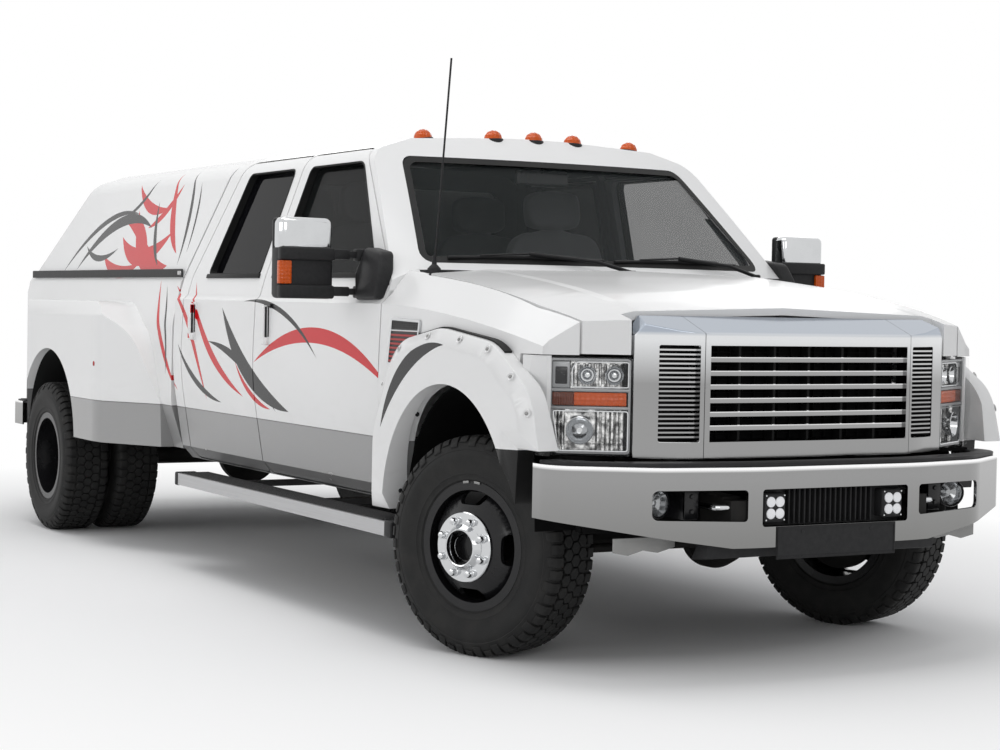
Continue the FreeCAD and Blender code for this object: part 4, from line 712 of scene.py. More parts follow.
def shade(mesh, angle):
    """Smooth faces, with edges sharper than the angle kept sharp."""
    limit = math.radians(angle)
    work = bmesh.new()
    work.from_mesh(mesh)
    for face in work.faces:
        face.smooth = True
    for edge in work.edges:
        edge.smooth = len(edge.link_faces) == 2 and edge.calc_face_angle(0) < limit
    work.to_mesh(mesh)
    work.free()


def piece(name, work, material, on, replaces=(), angle=32, weighted=False):
    """Turn a bmesh into a finished object that rides on the body of a CAD node."""
    mesh = bpy.data.meshes.new(name)
    work.to_mesh(mesh)
    work.free()
    for finish in material if isinstance(material, (list, tuple)) else [material]:
        mesh.materials.append(finish)
    shade(mesh, angle)
    made = bpy.data.objects.new(name, mesh)
    bpy.context.scene.collection.objects.link(made)
    if weighted:
        even = made.modifiers.new("even", "WEIGHTED_NORMAL")
        even.keep_sharp = True
        even.weight = 80
    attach(made, frame["nodes"][on]["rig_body"])
    if replaces:
        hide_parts(*replaces)
    return made


def copy_of(node):
    """A copy of a CAD node with its doubles merged and its flat faces joined."""
    work = bmesh.new()
    work.from_mesh(frame["nodes"][node].data)
    bmesh.ops.remove_doubles(work, verts=work.verts, dist=2e-5)
    bmesh.ops.dissolve_limit(work, angle_limit=math.radians(0.6), verts=work.verts, edges=work.edges)
    return work


def soften(node, width, material):
    """A CAD node's shape with its sharp edges rounded."""
    work = rounded(copy_of(node), width, sharp=30)
    return piece(f"{node}_finished", work, material, node, [node], 40, True)


def wheel_places(side):
    """Where a side's wheels stand, each with its y axis pointing out of its disc."""
    sign = SIDES[side]
    out = Matrix() if sign == 1 else Matrix.Rotation(math.pi, 4, "Z")
    back = Matrix.Rotation(math.pi, 4, "Z") @ out
    steer = Matrix.Rotation(STEER, 4, "Z")
    hub = shift(0, sign * (FRONT_TRACK / 2 - KINGPIN), 0)
    front = moved(0, sign * KINGPIN, WHEEL_HEIGHT) @ steer @ hub @ out
    twins = [shift(REAR_AXLE, sign * (REAR_TRACK + spread) / 2, WHEEL_HEIGHT) @ turn
             for spread, turn in ((-TWIN_SPACING, out), (TWIN_SPACING, back))]
    return front, twins


def make_tyre():
    """Tyre with shoulder lugs and rows of staggered six-sided blocks on a grooved carcass."""
    half = [(0.3915, 0.0), (0.3915, 0.090), (0.386, 0.102), (0.372, 0.1135), (0.358, 0.118), (0.353, 0.1205),
            (0.349, 0.1195), (0.345, 0.1215), (0.330, 0.1235), (0.300, 0.1215), (0.270, 0.1150),
            (0.265, 0.1165), (0.260, 0.1130), (0.247, 0.1115), (0.243, 0.1125), (0.239, 0.1080),
            (0.232, 0.102), (0.226, 0.096)]
    profile = [(radius, -across) for radius, across in reversed(half[1:])] + half
    tyre = turned(profile, 2 * TREAD_PITCHES, closed=True)
    pitch = 360 / TREAD_PITCHES
    depth = 0.0118
    step = bmesh.new()
    for across, turn in ((-0.040, 0.5), (0.0, 0.0), (0.040, 0.5)):
        rib = bmesh.new()
        bmesh.ops.create_circle(rib, cap_ends=True, radius=0.0238, segments=6)
        thicken(rib, (0, 0, depth))
        add(step, rounded(rib, 0.0016, 1), spin("Y", pitch * turn) @ shift(0, across, WHEEL_HEIGHT - depth))
    lug = [(0.068, 0.388), (0.068, 0.4015), (0.094, 0.4015), (0.1035, 0.3965), (0.1125, 0.383),
           (0.1205, 0.366), (0.1165, 0.362), (0.100, 0.378)]
    short = lug[:5] + [(0.1135, 0.380), (0.104, 0.376), (0.095, 0.384)]
    step = put(step, Matrix(), spin("Y", pitch))
    for shape, turn, place in ((lug, 0.0, Matrix()), (short, 1.0, Matrix()), (lug, 0.5, MIRROR),
                               (short, 1.5, MIRROR)):
        add(step, slab("yz", shape, -0.0172, 0.0172, 0.0016, 1), spin("Y", pitch * turn) @ place)
    add(tyre, step, *[spin("Y", pitch * number) for number in range(0, TREAD_PITCHES, 2)])
    return tyre


def make_wheels():
    """Treaded tyres, pressed wheels, bright hub covers with their nuts, and rim weights."""
    tread = make_tyre()
    cover = [(0.1275, 0.137), (0.1275, 0.1475), (0.1250, 0.1505), (0.084, 0.1505), (0.079, 0.1545),
             (0.071, 0.170), (0.067, 0.1735), (0.063, 0.1725), (0.0615, 0.168), (0.0595, 0.122),
             (0.0465, 0.121), (0.0465, 0.145), (0.0450, 0.1475), (0.0435, 0.145), (0.0425, 0.119), (0, 0.119)]
    seat = 0.150
    nut = [(0.0170, seat), (0.0165, 0.1535), (0.0150, 0.1550), (0.0132, 0.156), (0.0132, 0.1690),
           (0.0110, 0.1735), (0.0065, 0.1755), (0, 0.1760)]
    deep = 0.955
    face_height = deep + 0.011
    sleeve = [(0.127, deep), (0.127, deep + 0.008), (0.1245, face_height), (0.096, face_height),
              (0.0885, deep + 0.018), (0.0885, 1.086), (0.083, 1.095), (0.060, 1.0985), (0.055, 1.092),
              (0, 1.092)]
    nut_places = [spin("Y", 45 * (number + 0.5)) @ shift(0, 0, 0.100) for number in range(8)]
    for side in SIDES:
        front, twins = wheel_places(side)
        for node, places in ((f"tyre_front_{side}", [front]), (f"tyres_rear_{side}", twins)):
            piece(f"{node}_tread", put(tread.copy(), *places), RUBBER, node, [node], 38)
        front_rim = f"rim_front_{side}"
        rear_rims = f"rims_rear_{side}"
        knuckle_node = f"knuckle_{side}"
        for node in (front_rim, rear_rims):
            soften(node, 0.0012, BLACK_STEEL)
        hub = turned(cover, 64)
        for face in hub.faces:
            middle = face.calc_center_median()
            face.material_index = int(middle.y < 0.1215 or (middle.y < 0.14 and middle.xz.length < 0.06))
        add(hub, turned(nut, 20), *nut_places)
        piece(f"hub_cover_{side}", put(hub, front), [BRIGHT, GLOSS_BLACK], front_rim)
        twin_hub = turned(sleeve, 64)
        low_nut = turned([(radius, along + face_height - seat) for radius, along in nut], 20)
        add(twin_hub, low_nut, *nut_places)
        centre = shift(REAR_AXLE, 0, WHEEL_HEIGHT) @ SIDE_PLACE[side]
        piece(f"twin_hub_cover_{side}", put(twin_hub, centre), BRIGHT, rear_rims)
        weight = block((-0.014, 0.1065, 0.229), (0.014, 0.1125, 0.2385), 0.002)
        weights = put(weight, *[front @ spin("Y", turn) for turn in (-6, 7)])
        piece(f"rim_weights_{side}", weights, GREY_STEEL, front_rim)
        knuckle = copy_of(knuckle_node)
        everything = knuckle.verts[:] + knuckle.edges[:] + knuckle.faces[:]
        cut = bmesh.ops.bisect_plane(knuckle, geom=everything, plane_co=front @ Vector((0, 0.117, 0)),
                                     plane_no=front.to_3x3() @ Vector((0, 1, 0)), clear_outer=True)
        rim = [item for item in cut["geom_cut"] if isinstance(item, bmesh.types.BMEdge)]
        bmesh.ops.holes_fill(knuckle, edges=rim)
        piece(f"{knuckle_node}_finished", rounded(knuckle, 0.002, sharp=35), UNDER_STEEL, knuckle_node,
              [knuckle_node], 40)
    tread.free()


def lamp_frame():
    """Head lamp's own frame: x runs outwards along its face, y out of the face and z up."""
    along = (at(0.556, 0.938, 0) - at(0.706, 0.690, 0)).normalized()
    out = Vector((along.y, -along.x, 0))
    turn = Matrix((along, out, Vector((0, 0, 1)))).transposed().to_4x4()
    return moved(0.706, 0.690, 0) @ turn


def make_lamps():
    """Head lamps: fluted reflectors and beam bowls behind an amber band and a clear cover."""
    low = 0.776
    high = 1.102
    back = -0.052
    near = 0.006
    far = 0.284
    parts = put(block((near, back - 0.012, low), (far, back, high)))
    rim = ring([(near, low), (0.262, low), (far, 0.925), (far, high), (near, high)], 0.012, 0.008, 0.0, 0.045)
    add(parts, rounded(rim, tint=1), shift(0, back, 0))
    add(parts, blocks([
        ((0.008, back, 0.927), (0.282, -0.006, 0.938), 0.003, 2, 1),
        ((0.008, back, 0.988), (0.282, -0.006, 0.999), 0.003, 2, 1),
        ((0.214, back, 0.999), (0.276, -0.014, 1.092), 0.004, 2, 1),
        ((0.222, back, 1.012), (0.266, -0.012, 1.074), 0.005, 2, 5),
        ((0.020, -0.036, 0.940), (0.200, -0.008, 0.986), 0.004, 2, 2),
        ((0.201, -0.036, 0.940), (0.274, -0.010, 0.986), 0.004, 2, 3),
    ], flat))
    bowl = [(0.046, -0.004), (0.048, -0.006), (0.046, -0.010), (0.040, -0.030), (0.026, -0.044),
            (0.012, -0.048), (0.012, -0.030), (0.009, -0.024), (0, -0.023)]
    add(parts, turned(bowl, 40, tint=4), shift(0.178, 0, 0.855))
    upper = [(0.030, -0.010), (0.032, -0.012), (0.030, -0.016), (0.022, -0.036), (0.008, -0.042),
             (0.008, -0.028), (0, -0.026)]
    add(parts, turned(upper, 32, tint=4), shift(0.062, 0, 1.044), shift(0.155, 0, 1.044))
    flutes = (
        (7, 0.0165, 0.016, 0.010, 0.784, (0.0075, 0.0, 0.140, 0.002, 12)),
        (3, 0.0125, 0.236, 0.010, 0.784, (0.006, 0.0, 0.140, 0.002, 12)),
        (11, 0.0185, 0.018, 0.006, 1.004, (0.005, 0.0, 0.080, 0.002, 10)),
    )
    for count, pitch, start, reach, foot, sizes in flutes:
        for number in range(count):
            add(parts, drum(*sizes), shift(start + number * pitch, back + reach, foot) @ UPRIGHT)
    edges = {
        0.008: [(0.012, 1.002), (0.208, 1.002), (0.208, 1.070), (0.192, 1.092), (0.012, 1.092)],
        0.010: [(0.012, 0.784), (0.252, 0.784), (0.272, 0.924), (0.012, 0.924)],
    }
    for corner, points in edges.items():
        add(parts, rounded(ring(points, corner, 0.004, 0, 0.006), tint=4), shift(0, -0.012, 0))
    finishes = [REFLECTOR, LAMP_GREY, AMBER, DARK_AMBER, BRIGHT, GLOSS_BLACK]
    piece("lamp_insides", both(put(parts, lamp_frame())), finishes, "head_lamps")
    cover = rounded(copy_of("head_lamps"), 0.004, sharp=30)
    piece("lamp_covers", cover, CLEAR_LENS, "head_lamps", ["head_lamps"], 40)
    shoulder = slab("xy", ahead([(0.5555, 0.9405), (0.464, 0.9855), (0.460, 0.972), (0.546, 0.930)]),
                    0.765, 1.110, 0.001, 1)
    cheek = slab("xy", ahead([(0.5615, 0.9285), (0.5555, 0.9405), (0.546, 0.930), (0.553, 0.922)]),
                 0.765, 1.110)
    piece("lamp_shoulders", both(gather(shoulder, cheek)), PLAIN_PAINT, "front_fenders")
    gap = blocks([((0.600, 0.6855, 0.766), (0.684, 0.6925, 1.112)),
                  ((0.46, 0.70, 0.752), (0.62, 0.90, 0.766))])
    piece("lamp_gaps", both(gap), MATT_BLACK, "head_lamps")


def make_grille_depth():
    """Black grid behind the bars and a fine strip beside the fins."""
    grid = bmesh.new()
    for sign in SIDES.values():
        wall = ahead([(0.738, 0.0), (0.727, sign * 0.43), (0.719, sign * 0.43), (0.730, 0.0)])
        add(grid, slab("xy", wall, 0.826, 1.148))
    uprights = [0.052 * number for number in range(-8, 9)]
    levels = [0.846 + 0.0472 * number for number in range(7)]
    add(grid, blocks([((0.726, y - 0.002, 0.828), (0.752 - abs(y) * 0.026, y + 0.002, 1.146))
                      for y in uprights]))
    add(grid, blocks([((0.724, -0.42, z - 0.002), (0.744, 0.42, z + 0.002)) for z in levels]))
    teeth = [0.832 + 0.0083 * number for number in range(38)]
    strip = blocks([((0.738, 0.474, z), (0.764, 0.486, z + 0.004)) for z in teeth]
                   + [((0.730, 0.472, 0.826), (0.742, 0.600, 1.148))])
    add(grid, both(strip))
    piece("grille_grid", grid, MATT_BLACK, "grille_bars")


def bumper_line(inset):
    """Front bumper's plan from its left end to its right, set in."""
    half = 1.002 - inset
    nose = 0.962 - inset
    left = [(0.585, half), (0.700, half, 0.150), (nose - 0.070, 0.700 - inset / 2, 0.300),
            (nose, 0.350, 0.900)]
    return filleted(left + [(x, -y, *rest) for x, y, *rest in reversed(left)])


def bumper_band(outer, inner, low, high, width=0.0):
    """Level band that follows the front bumper."""
    path = bumper_line(outer) + bumper_line(inner)[::-1]
    return slab("xy", ahead(path), low, high, width)


def make_bumper():
    """The front bumper's pad, dark back, lamps, hooks, plate frame, valance and braces."""
    piece("bumper_pad", bumper_band(0.018, 0.112, 0.7448, 0.7575, 0.004), BLACK_PLASTIC, "front_bumper")
    piece("bumper_back", bumper_band(0.190, 0.205, 0.50, 0.72), MATT_BLACK, "front_bumper")
    lamps = bmesh.new()
    spot = moved(0.815, 0.648, 0.617) @ spin("Z", -14) @ FORWARD
    shell = [(0.052, -0.045), (0.052, 0.004), (0.050, 0.008), (0.046, 0.008), (0.044, 0.002),
             (0.034, -0.026), (0.016, -0.036), (0, -0.037)]
    inner = [(0.0435, 0.001), (0.034, -0.022), (0.016, -0.031), (0.010, -0.018), (0, -0.016)]
    lens = [(0.0445, 0.002), (0.040, 0.008), (0.025, 0.012), (0, 0.014)]
    for tint, (profile, steps) in enumerate(((shell, 40), (inner, 32), (lens, 32))):
        add(lamps, turned(profile, steps, tint=tint), spot)
    piece("fog_lamps", both(lamps), [GLOSS_BLACK, BRIGHT, FOG_LENS], "front_bumper")
    mounts = blocks([((0.840, 0.508, 0.562), (0.852, 0.566, 0.668), 0.003),
                     ((0.70, 0.56, 0.562), (0.852, 0.566, 0.668), 0.002)])
    bolt = drum(0.0085, 0.0, 0.008, 0.002, 6)
    add(mounts, bolt, moved(0.851, 0.537, 0.642) @ FORWARD, moved(0.851, 0.537, 0.590) @ FORWARD)
    piece("bumper_mounts", both(mounts), BLACK_STEEL, "front_bumper")
    height = 0.607
    hook = [at(0.895 + 0.020 * math.sin(turn), 0.432 - 0.042 * math.cos(turn), height)
            for turn in (math.pi * number / 8 for number in range(9))]
    loop = tube([at(0.72, 0.390, height)] + hook + [at(0.72, 0.474, height)], 0.0105, 12)
    piece("tow_hooks", both(loop), BRIGHT, "front_bumper")
    work = put(block((-0.046, -0.060, -0.050), (0.046, 0.0, 0.050), 0.010, 3))
    face = [(0.0185, 0.0), (0.0180, 0.003), (0.014, 0.0055), (0.007, 0.007), (0, 0.0075)]
    for across in (-0.019, 0.019):
        for up in (-0.020, 0.020):
            add(work, turned(face, 20, tint=1), shift(across, 0.0, up))
        for up in (-0.042, 0.042):
            add(work, drum(0.0032, 0.0, 0.002, 0.0008, 8, 2), shift(across * 2, 0.0, up))
    fins = [-0.036 + number * 0.018 for number in range(5)]
    add(work, blocks([((-0.044, -0.085, up - 0.002), (0.044, -0.055, up + 0.002)) for up in fins], flat))
    cubes = put(work, moved(0.950, 0.258, 0.604) @ FORWARD)
    piece("work_lamps", both(cubes), [BLACK_PLASTIC, LAMP_WHITE, BRIGHT], "front_bumper")
    slats = blocks([((0.905, y - 0.003, 0.544), (0.925, y + 0.003, 0.666), 0.001, 1)
                    for y in (0.0225 * number for number in range(-8, 9))]
                   + [((0.895, -0.318, 0.538), (0.905, 0.318, 0.672))])
    piece("bumper_grille", slats, BLACK_PLASTIC, "front_bumper")
    plate_ring = ring([(-0.257, 0.431), (0.257, 0.431), (0.257, 0.537), (-0.257, 0.537)], 0.004, 0.005, 0,
                      0.0022)
    add(plate_ring, drum(0.007, 0.0, 0.0025, 0.0008, 12), shift(0.15, 0, 0.520), shift(-0.15, 0, 0.520))
    piece("plate_frame", put(plate_ring, moved(0.9648, 0, 0) @ FORWARD), BLACK_PLASTIC, "front_bumper")
    valance = slab("xz", ahead([(0.80, 0.420), (0.89, 0.430), (0.90, 0.478), (0.86, 0.520)]), -0.50, 0.50,
                   0.004)
    piece("valance", valance, BLACK_PLASTIC, "front_bumper")
    scallops = [(0.55, 0.500), (0.80, 0.500), (0.80, 0.452), (0.74, 0.440), (0.68, 0.455), (0.62, 0.445),
                (0.55, 0.462)]
    brace = slab("yz", scallops, AXLE + 0.770, AXLE + 0.776, 0.001, 1)
    piece("bumper_braces", both(brace), GREY_STEEL, "front_bumper")


MIRROR_BLOCKS = [
    ((-0.928, 1.106, 1.288), (-0.842, 1.338, 1.494), 0.016, 3, 0),
    ((-0.924, 1.112, 1.470), (-0.836, 1.336, 1.608), 0.026, 4, 1),
    ((-0.932, 1.108, 1.292), (-0.900, 1.337, 1.606), 0.014, 3, 0),
    ((-0.9345, 1.122, 1.412), (-0.930, 1.324, 1.590), 0.001, 1, 2),
    ((-0.9345, 1.122, 1.306), (-0.930, 1.324, 1.398), 0.001, 1, 2),
    ((-0.860, 1.106, 1.440), (-0.824, 1.340, 1.490), 0.007, 3, 0),
    ((-0.868, 1.106, 1.289), (-0.826, 1.340, 1.342), 0.010, 3, 0),
    ((-0.862, 1.290, 1.345), (-0.829, 1.3415, 1.437), 0.005, 2, 3),
]


def make_mirrors():
    """Tow mirrors: bright cap over a black head with an amber marker, on two stepped arms."""
    for side, place in SIDE_PLACE.items():
        head = blocks(MIRROR_BLOCKS)
        for low, high in ((1.446, 1.486), (1.300, 1.338)):
            middle = (low + high) / 2
            add(head, blocks([
                ((-0.858, 1.040, low), (-0.828, 1.120, high), 0.006),
                ((-0.854, 1.000, low + 0.006), (-0.832, 1.050, high - 0.006), 0.004),
                ((-0.866, 0.955, low - 0.006), (-0.822, 1.012, high + 0.004), 0.007),
                ((-0.840, 0.930, middle - 0.016), (-0.700, 0.985, middle + 0.016), 0.008),
            ]))
        base = slab("xz", ahead([(-0.640, 1.290), (-0.615, 1.40), (-0.655, 1.478), (-0.800, 1.498),
                                 (-0.838, 1.40), (-0.830, 1.286)]), 0.925, 0.990, 0.012, 3, corner=0.018)
        for vert in base.verts:
            vert.co.y += 0.028 - max(vert.co.z - BELT_HEIGHT, 0) * 0.25
        add(head, base)
        node = f"mirror_{side}"
        piece(f"{node}_finished", put(head, place), [BLACK_PLASTIC, BRIGHT, MIRROR_GLASS, AMBER], node,
              [node], 40)


def leaning(lean, base, height):
    """Lays a part made at y = 0 on a panel that lies at base at a height and leans by a share of z."""
    return Matrix(((1, 0, 0, AXLE), (0, 1, lean, base - lean * height), (0, 0, 1, 0), (0, 0, 0, 1)))


def side_slope(inner=0.0):
    """Lays a part made at y = 0 against the cab's side above the belt."""
    return leaning(SIDE_LEAN, 0.957 - inner, BELT_HEIGHT)


def make_doors():
    """Window seals, belt mouldings and handle details on the four doors."""
    windows = {"front": [(-0.76, 1.392), (-1.80, 1.392), (-1.728, 1.870), (-1.195, 1.870)],
               "rear": [(-1.957, 1.392), (-2.59, 1.392), (-2.425, 1.870), (-1.895, 1.870)]}
    handles = {"front": -1.769, "rear": -2.670}
    for side, place in SIDE_PLACE.items():
        for spot, points in windows.items():
            trim = put(ring(points, 0.035, 0.007, 0, -0.034), side_slope(-0.0012))
            add(trim, ring(points, 0.035, 0.002, 0.009, -0.003), side_slope(-0.0035))
            start, end = points[0][0], points[1][0]
            add(trim, block((end - 0.006, -0.004, 1.376), (start + 0.006, 0.008, 1.396), 0.003), side_slope())
            x = handles[spot]
            add(trim, block(at(x + 0.0475, 1.008, 1.118), at(x + 0.0625, 1.0152, 1.250), 0.002))
            door = f"door_{spot}_{side}"
            piece(f"{door}_seals", put(trim, place), RUBBER_SEAL, door)
            cup = blocks([((x + 0.008, 1.008, 1.082), (x + 0.062, 1.030, 1.116), 0.007, 3),
                          ((x + 0.012, 1.012, 1.110), (x + 0.046, 1.0335, 1.254), 0.006, 3)])
            if spot == "front":
                add(cup, drum(0.008, 0.0, 0.003, 0.001, 20), moved(x + 0.036, 1.030, 1.098))
            piece(f"{door}_pull", put(cup, place), PLAIN_PAINT, door)


def make_vents():
    """Wing vents: bright frame, dark net above red slats."""
    outline = [(-0.505, 1.222), (-0.262, 1.216), (-0.272, 1.130), (-0.452, 1.036), (-0.525, 1.040)]
    lean = leaning(-0.036, 1.0128, 1.04)
    vent = put(ring(outline, 0.012, 0.010, 0, 0.008), lean)
    inner = [(x * 0.96 - 0.016, 1.13 + (z - 1.13) * 0.93) for x, z in outline]
    add(vent, slab("xz", inner, -0.003, 0.003, tint=1, corner=0.01), lean)
    rows = [((-0.500, 0.0, 1.170), (-0.272, 0.007, 1.176), 0.001, 1, 0)]
    top = 1.155
    for number in range(7):
        z = top - number * 0.0165
        front = -0.284 - max(1.128 - z, 0) * 1.86
        rear = -0.508 - (top - z) * 0.1
        rows.append(((rear, 0.002, z - 0.0042), (front, 0.0065, z + 0.0042), 0.0015, 1, 2))
    for number in range(44):
        x = -0.492 + (number % 11) * 0.0205
        z = 1.183 + (number // 11) * 0.0085
        rows.append(((x, 0.002, z), (x + 0.014, 0.0055, z + 0.004), 0.0008, 1, 1))
    add(vent, blocks(rows, flat), lean)
    piece("wing_vents", both(vent), [BRIGHT, GLOSS_BLACK, VENT_RED], "front_fenders")


def make_arches():
    """Bolts and seams of the flares, wheel-house liners, mud flaps and side markers."""
    bolts = bmesh.new()
    outer = [(-0.500, 0.965), (-0.365, 1.105), (-0.13, 1.158), (0.116, 1.152), (0.324, 1.124), (0.490, 1.035),
             (0.605, 0.915)]
    middle, axle_height = FRONT_ARCH
    for x, z in outer:
        dish = turned([(0.0150, 0.002), (0.0130, 0.0035), (0.0090, 0.0010), (0, 0.0010)], 20, tint=1)
        head = turned([(0.0065, 0.0), (0.0065, 0.004), (0.0045, 0.0055), (0, 0.0055)], 12)
        along = Vector((z - 0.50, 0, middle - x)).normalized()
        add(bolts, gather(dish, head), moved(x, 1.047, z) @ spin(along, 28))
    for x, z in ((-0.428, 0.70), (-0.428, 0.56), (-0.30, 0.86)):
        add(bolts, drum(0.009, 0.0, 0.004, 0.001, 16, 2), moved(x, 1.0, z) @ FORWARD)
    edge = [(-0.607, 0.488), (-0.607, 0.800, 0.300), (-0.430, 1.130, 0.250), (-0.060, 1.192, 0.350),
            (0.330, 1.148, 0.300), (0.606, 0.980, 0.200), (0.660, 0.792)]
    wide = [(middle + (x - middle) * 1.011, 0.60 + (z - 0.60) * 1.011) for x, z in filleted(edge) if x < 0.42]
    seam = slab("xz", ahead(wide + arc(FRONT_ARCH, 0.54, 56, 122, 20)), 0.985, 1.0145)
    piece("flare_seams", both(seam), RUBBER_SEAL, "fender_flares")
    piece("flare_bolts", both(bolts), [GREY_STEEL, PLAIN_PAINT, BLACK_PLASTIC], "fender_flares")
    liner = turned([(0.4875, 0.60), (0.4875, 0.955), (0.4845, 0.955), (0.4845, 0.60)], 40, closed=True,
                   angle=math.pi)
    lined = put(liner, moved(middle, 0, axle_height) @ spin("Y", -90))
    add(lined, slab("xz", ahead(arc(FRONT_ARCH, 0.486, 30, 120, 14)), 0.600, 0.604))
    piece("wheel_house_liners", both(lined), MATT_BLACK, "front_fenders")
    flap = gather(block((REAR_AXLE - 0.468, 0.700, 0.345), (REAR_AXLE - 0.460, 1.165, 0.800), 0.003),
                  block((REAR_AXLE - 0.472, 0.720, 0.735), (REAR_AXLE - 0.458, 1.150, 0.760), 0.003))
    for y in (0.76, 0.93, 1.10):
        add(flap, drum(0.009, 0.0, 0.005, 0.001, 12), shift(REAR_AXLE - 0.458, y, 0.748) @ FORWARD)
    piece("mud_flaps", both(flap), BLACK_PLASTIC, "bed")
    marker = [(0.0235, 0.0), (0.0235, 0.004), (0.019, 0.009), (0.010, 0.012), (0, 0.013)]
    lamps = put(turned(marker, 28), moved(-3.534, 1.197, 0.936))
    piece("side_markers", both(lamps), RED_LENS, "bed")


def screen_depth(y, z, offset):
    """Where the windscreen's outer face lies along x, plus an offset."""
    share = (z - 1.410) / 0.515
    middle = -0.440 + share * -0.635
    foot = 2.281 - math.sqrt(2.281 ** 2 - y * y)
    head = 3.80 - math.sqrt(3.80 ** 2 - y * y)
    return AXLE + middle - (foot + share * (head - foot)) + offset


def on_screen(y, z, offset):
    """A place on the windscreen, or ahead of it."""
    return Vector((screen_depth(y, z, offset), y, z))


def make_screen():
    """Windscreen's dark border, wipers and the antenna's base."""
    outline = [(-0.829, 1.440), (0.829, 1.440), (0.688, 1.893), (-0.688, 1.893)]
    border = ring(outline, 0.055, 0.026, 0.033, 0.004)
    long_edges = [edge for edge in border.edges if edge.calc_length() > 0.2]
    bmesh.ops.subdivide_edges(border, edges=long_edges, cuts=15, use_grid_fill=True)
    for vert in border.verts:
        across, thick, up = vert.co
        vert.co = (screen_depth(across, up, 0.001 - thick), across, up)
    bmesh.ops.recalc_face_normals(border, faces=border.faces)
    piece("windscreen_border", border, RUBBER_SEAL, "screens")
    wipers = bmesh.new()
    for pivot, start, end in ((0.02, -0.72, -0.06), (0.73, -0.01, 0.66)):
        middle = (start + end) / 2
        blade = [(start, 1.462), (middle, 1.470), (end, 1.463)]
        add(wipers, tube([on_screen(y, z, 0.012) for y, z in blade], 0.007, 8))
        back = [(start + 0.12, 1.462), (middle, 1.474), (end - 0.12, 1.463)]
        spine = [on_screen(y, z, 0.022) + Vector((0, 0, 0.010)) for y, z in back]
        add(wipers, tube(spine, 0.004, 6))
        root = Vector((screen_depth(pivot, 1.412, 0.035), pivot, 1.418))
        knee = Vector((screen_depth(pivot - 0.14, 1.45, 0.040), pivot - 0.14, 1.458))
        add(wipers, tube([root, knee, spine[1]], 0.008, 8))
        add(wipers, drum(0.020, 0.0, 0.022, 0.004, 16), shift(root.x, root.y, root.z - 0.014) @ UPRIGHT)
    piece("wipers", wipers, BLACK_PLASTIC, "screens")
    base = turned([(0, 0), (0.028, 0.0), (0.026, 0.008), (0.010, 0.024), (0.008, 0.055), (0.0055, 0.060),
                   (0, 0.060)], 24)
    piece("antenna_base", put(base, moved(-0.546, -0.81, 1.408) @ UPRIGHT), BLACK_PLASTIC, "antenna")


def make_roof_lamps():
    """Five amber domes on black bases."""
    lamps = bmesh.new()
    base = [(0, -0.012), (0.045, -0.012), (0.0455, 0.004), (0.042, 0.010), (0, 0.010)]
    dome = [(0.0405, 0.008)] + [(0.0395 * math.cos(turn), 0.010 + 0.037 * math.sin(turn))
                                for turn in (math.radians(10 * step) for step in range(9))] + [(0, 0.047)]
    for x, y, z in ((-1.185, 0, 1.986), (-1.188, 0.20, 1.984), (-1.188, -0.20, 1.984), (-1.228, 0.52, 1.973),
                    (-1.228, -0.52, 1.973)):
        lamp = gather(turned(base, 32, tint=1), turned(dome, 32))
        add(lamps, lamp, moved(x, y, z) @ spin("X", y * -14) @ UPRIGHT)
    piece("roof_lamps_finished", lamps, [AMBER, BLACK_PLASTIC], "roof_lamps", ["roof_lamps"])


OTHER_AXES = [(1, 2), (0, 2), (0, 1)]
SEAT_PLACES = [moved(x, y, 0) for x in (-1.50, -2.23) for y in (-0.48, 0.48)]


def cushion(name, low, high, lean, swell=0.022):
    """Padded seat parts with crowned faces, pulled-in sides and a sewn channel, one for each seat."""
    low = Vector(low)
    high = Vector(high)
    span = (high - low) / 2
    part = bmesh.new()
    bmesh.ops.create_cube(part, size=2)
    bmesh.ops.subdivide_edges(part, edges=part.edges, cuts=7, use_grid_fill=True)
    for vert in part.verts:
        spot = vert.co.copy()
        pull = [1 - 0.10 * max(abs(spot[first]), abs(spot[second])) ** 6 for first, second in OTHER_AXES]
        crown = [swell / span[axis] * (1 - spot[first] ** 2) * (1 - spot[second] ** 2)
                 for axis, (first, second) in enumerate(OTHER_AXES)]
        channel = math.exp(-((abs(spot.y) - 0.52) / 0.06) ** 2) * 0.07
        vert.co = [spot[axis] * (pull[axis] + crown[axis] - channel * (axis != 1)) * span[axis]
                   for axis in range(3)]
    bmesh.ops.smooth_vert(part, verts=part.verts, factor=0.3, use_axis_x=True, use_axis_y=True,
                          use_axis_z=True)
    places = [place @ shift(*(low + high) / 2) @ spin("Y", lean) for place in SEAT_PLACES]
    made = piece(name, put(part, *places), SEAT_CLOTH, "seats", ["seats"], 180)
    smooth = made.modifiers.new("smooth", "SUBSURF")
    smooth.levels = 1
    smooth.render_levels = 1


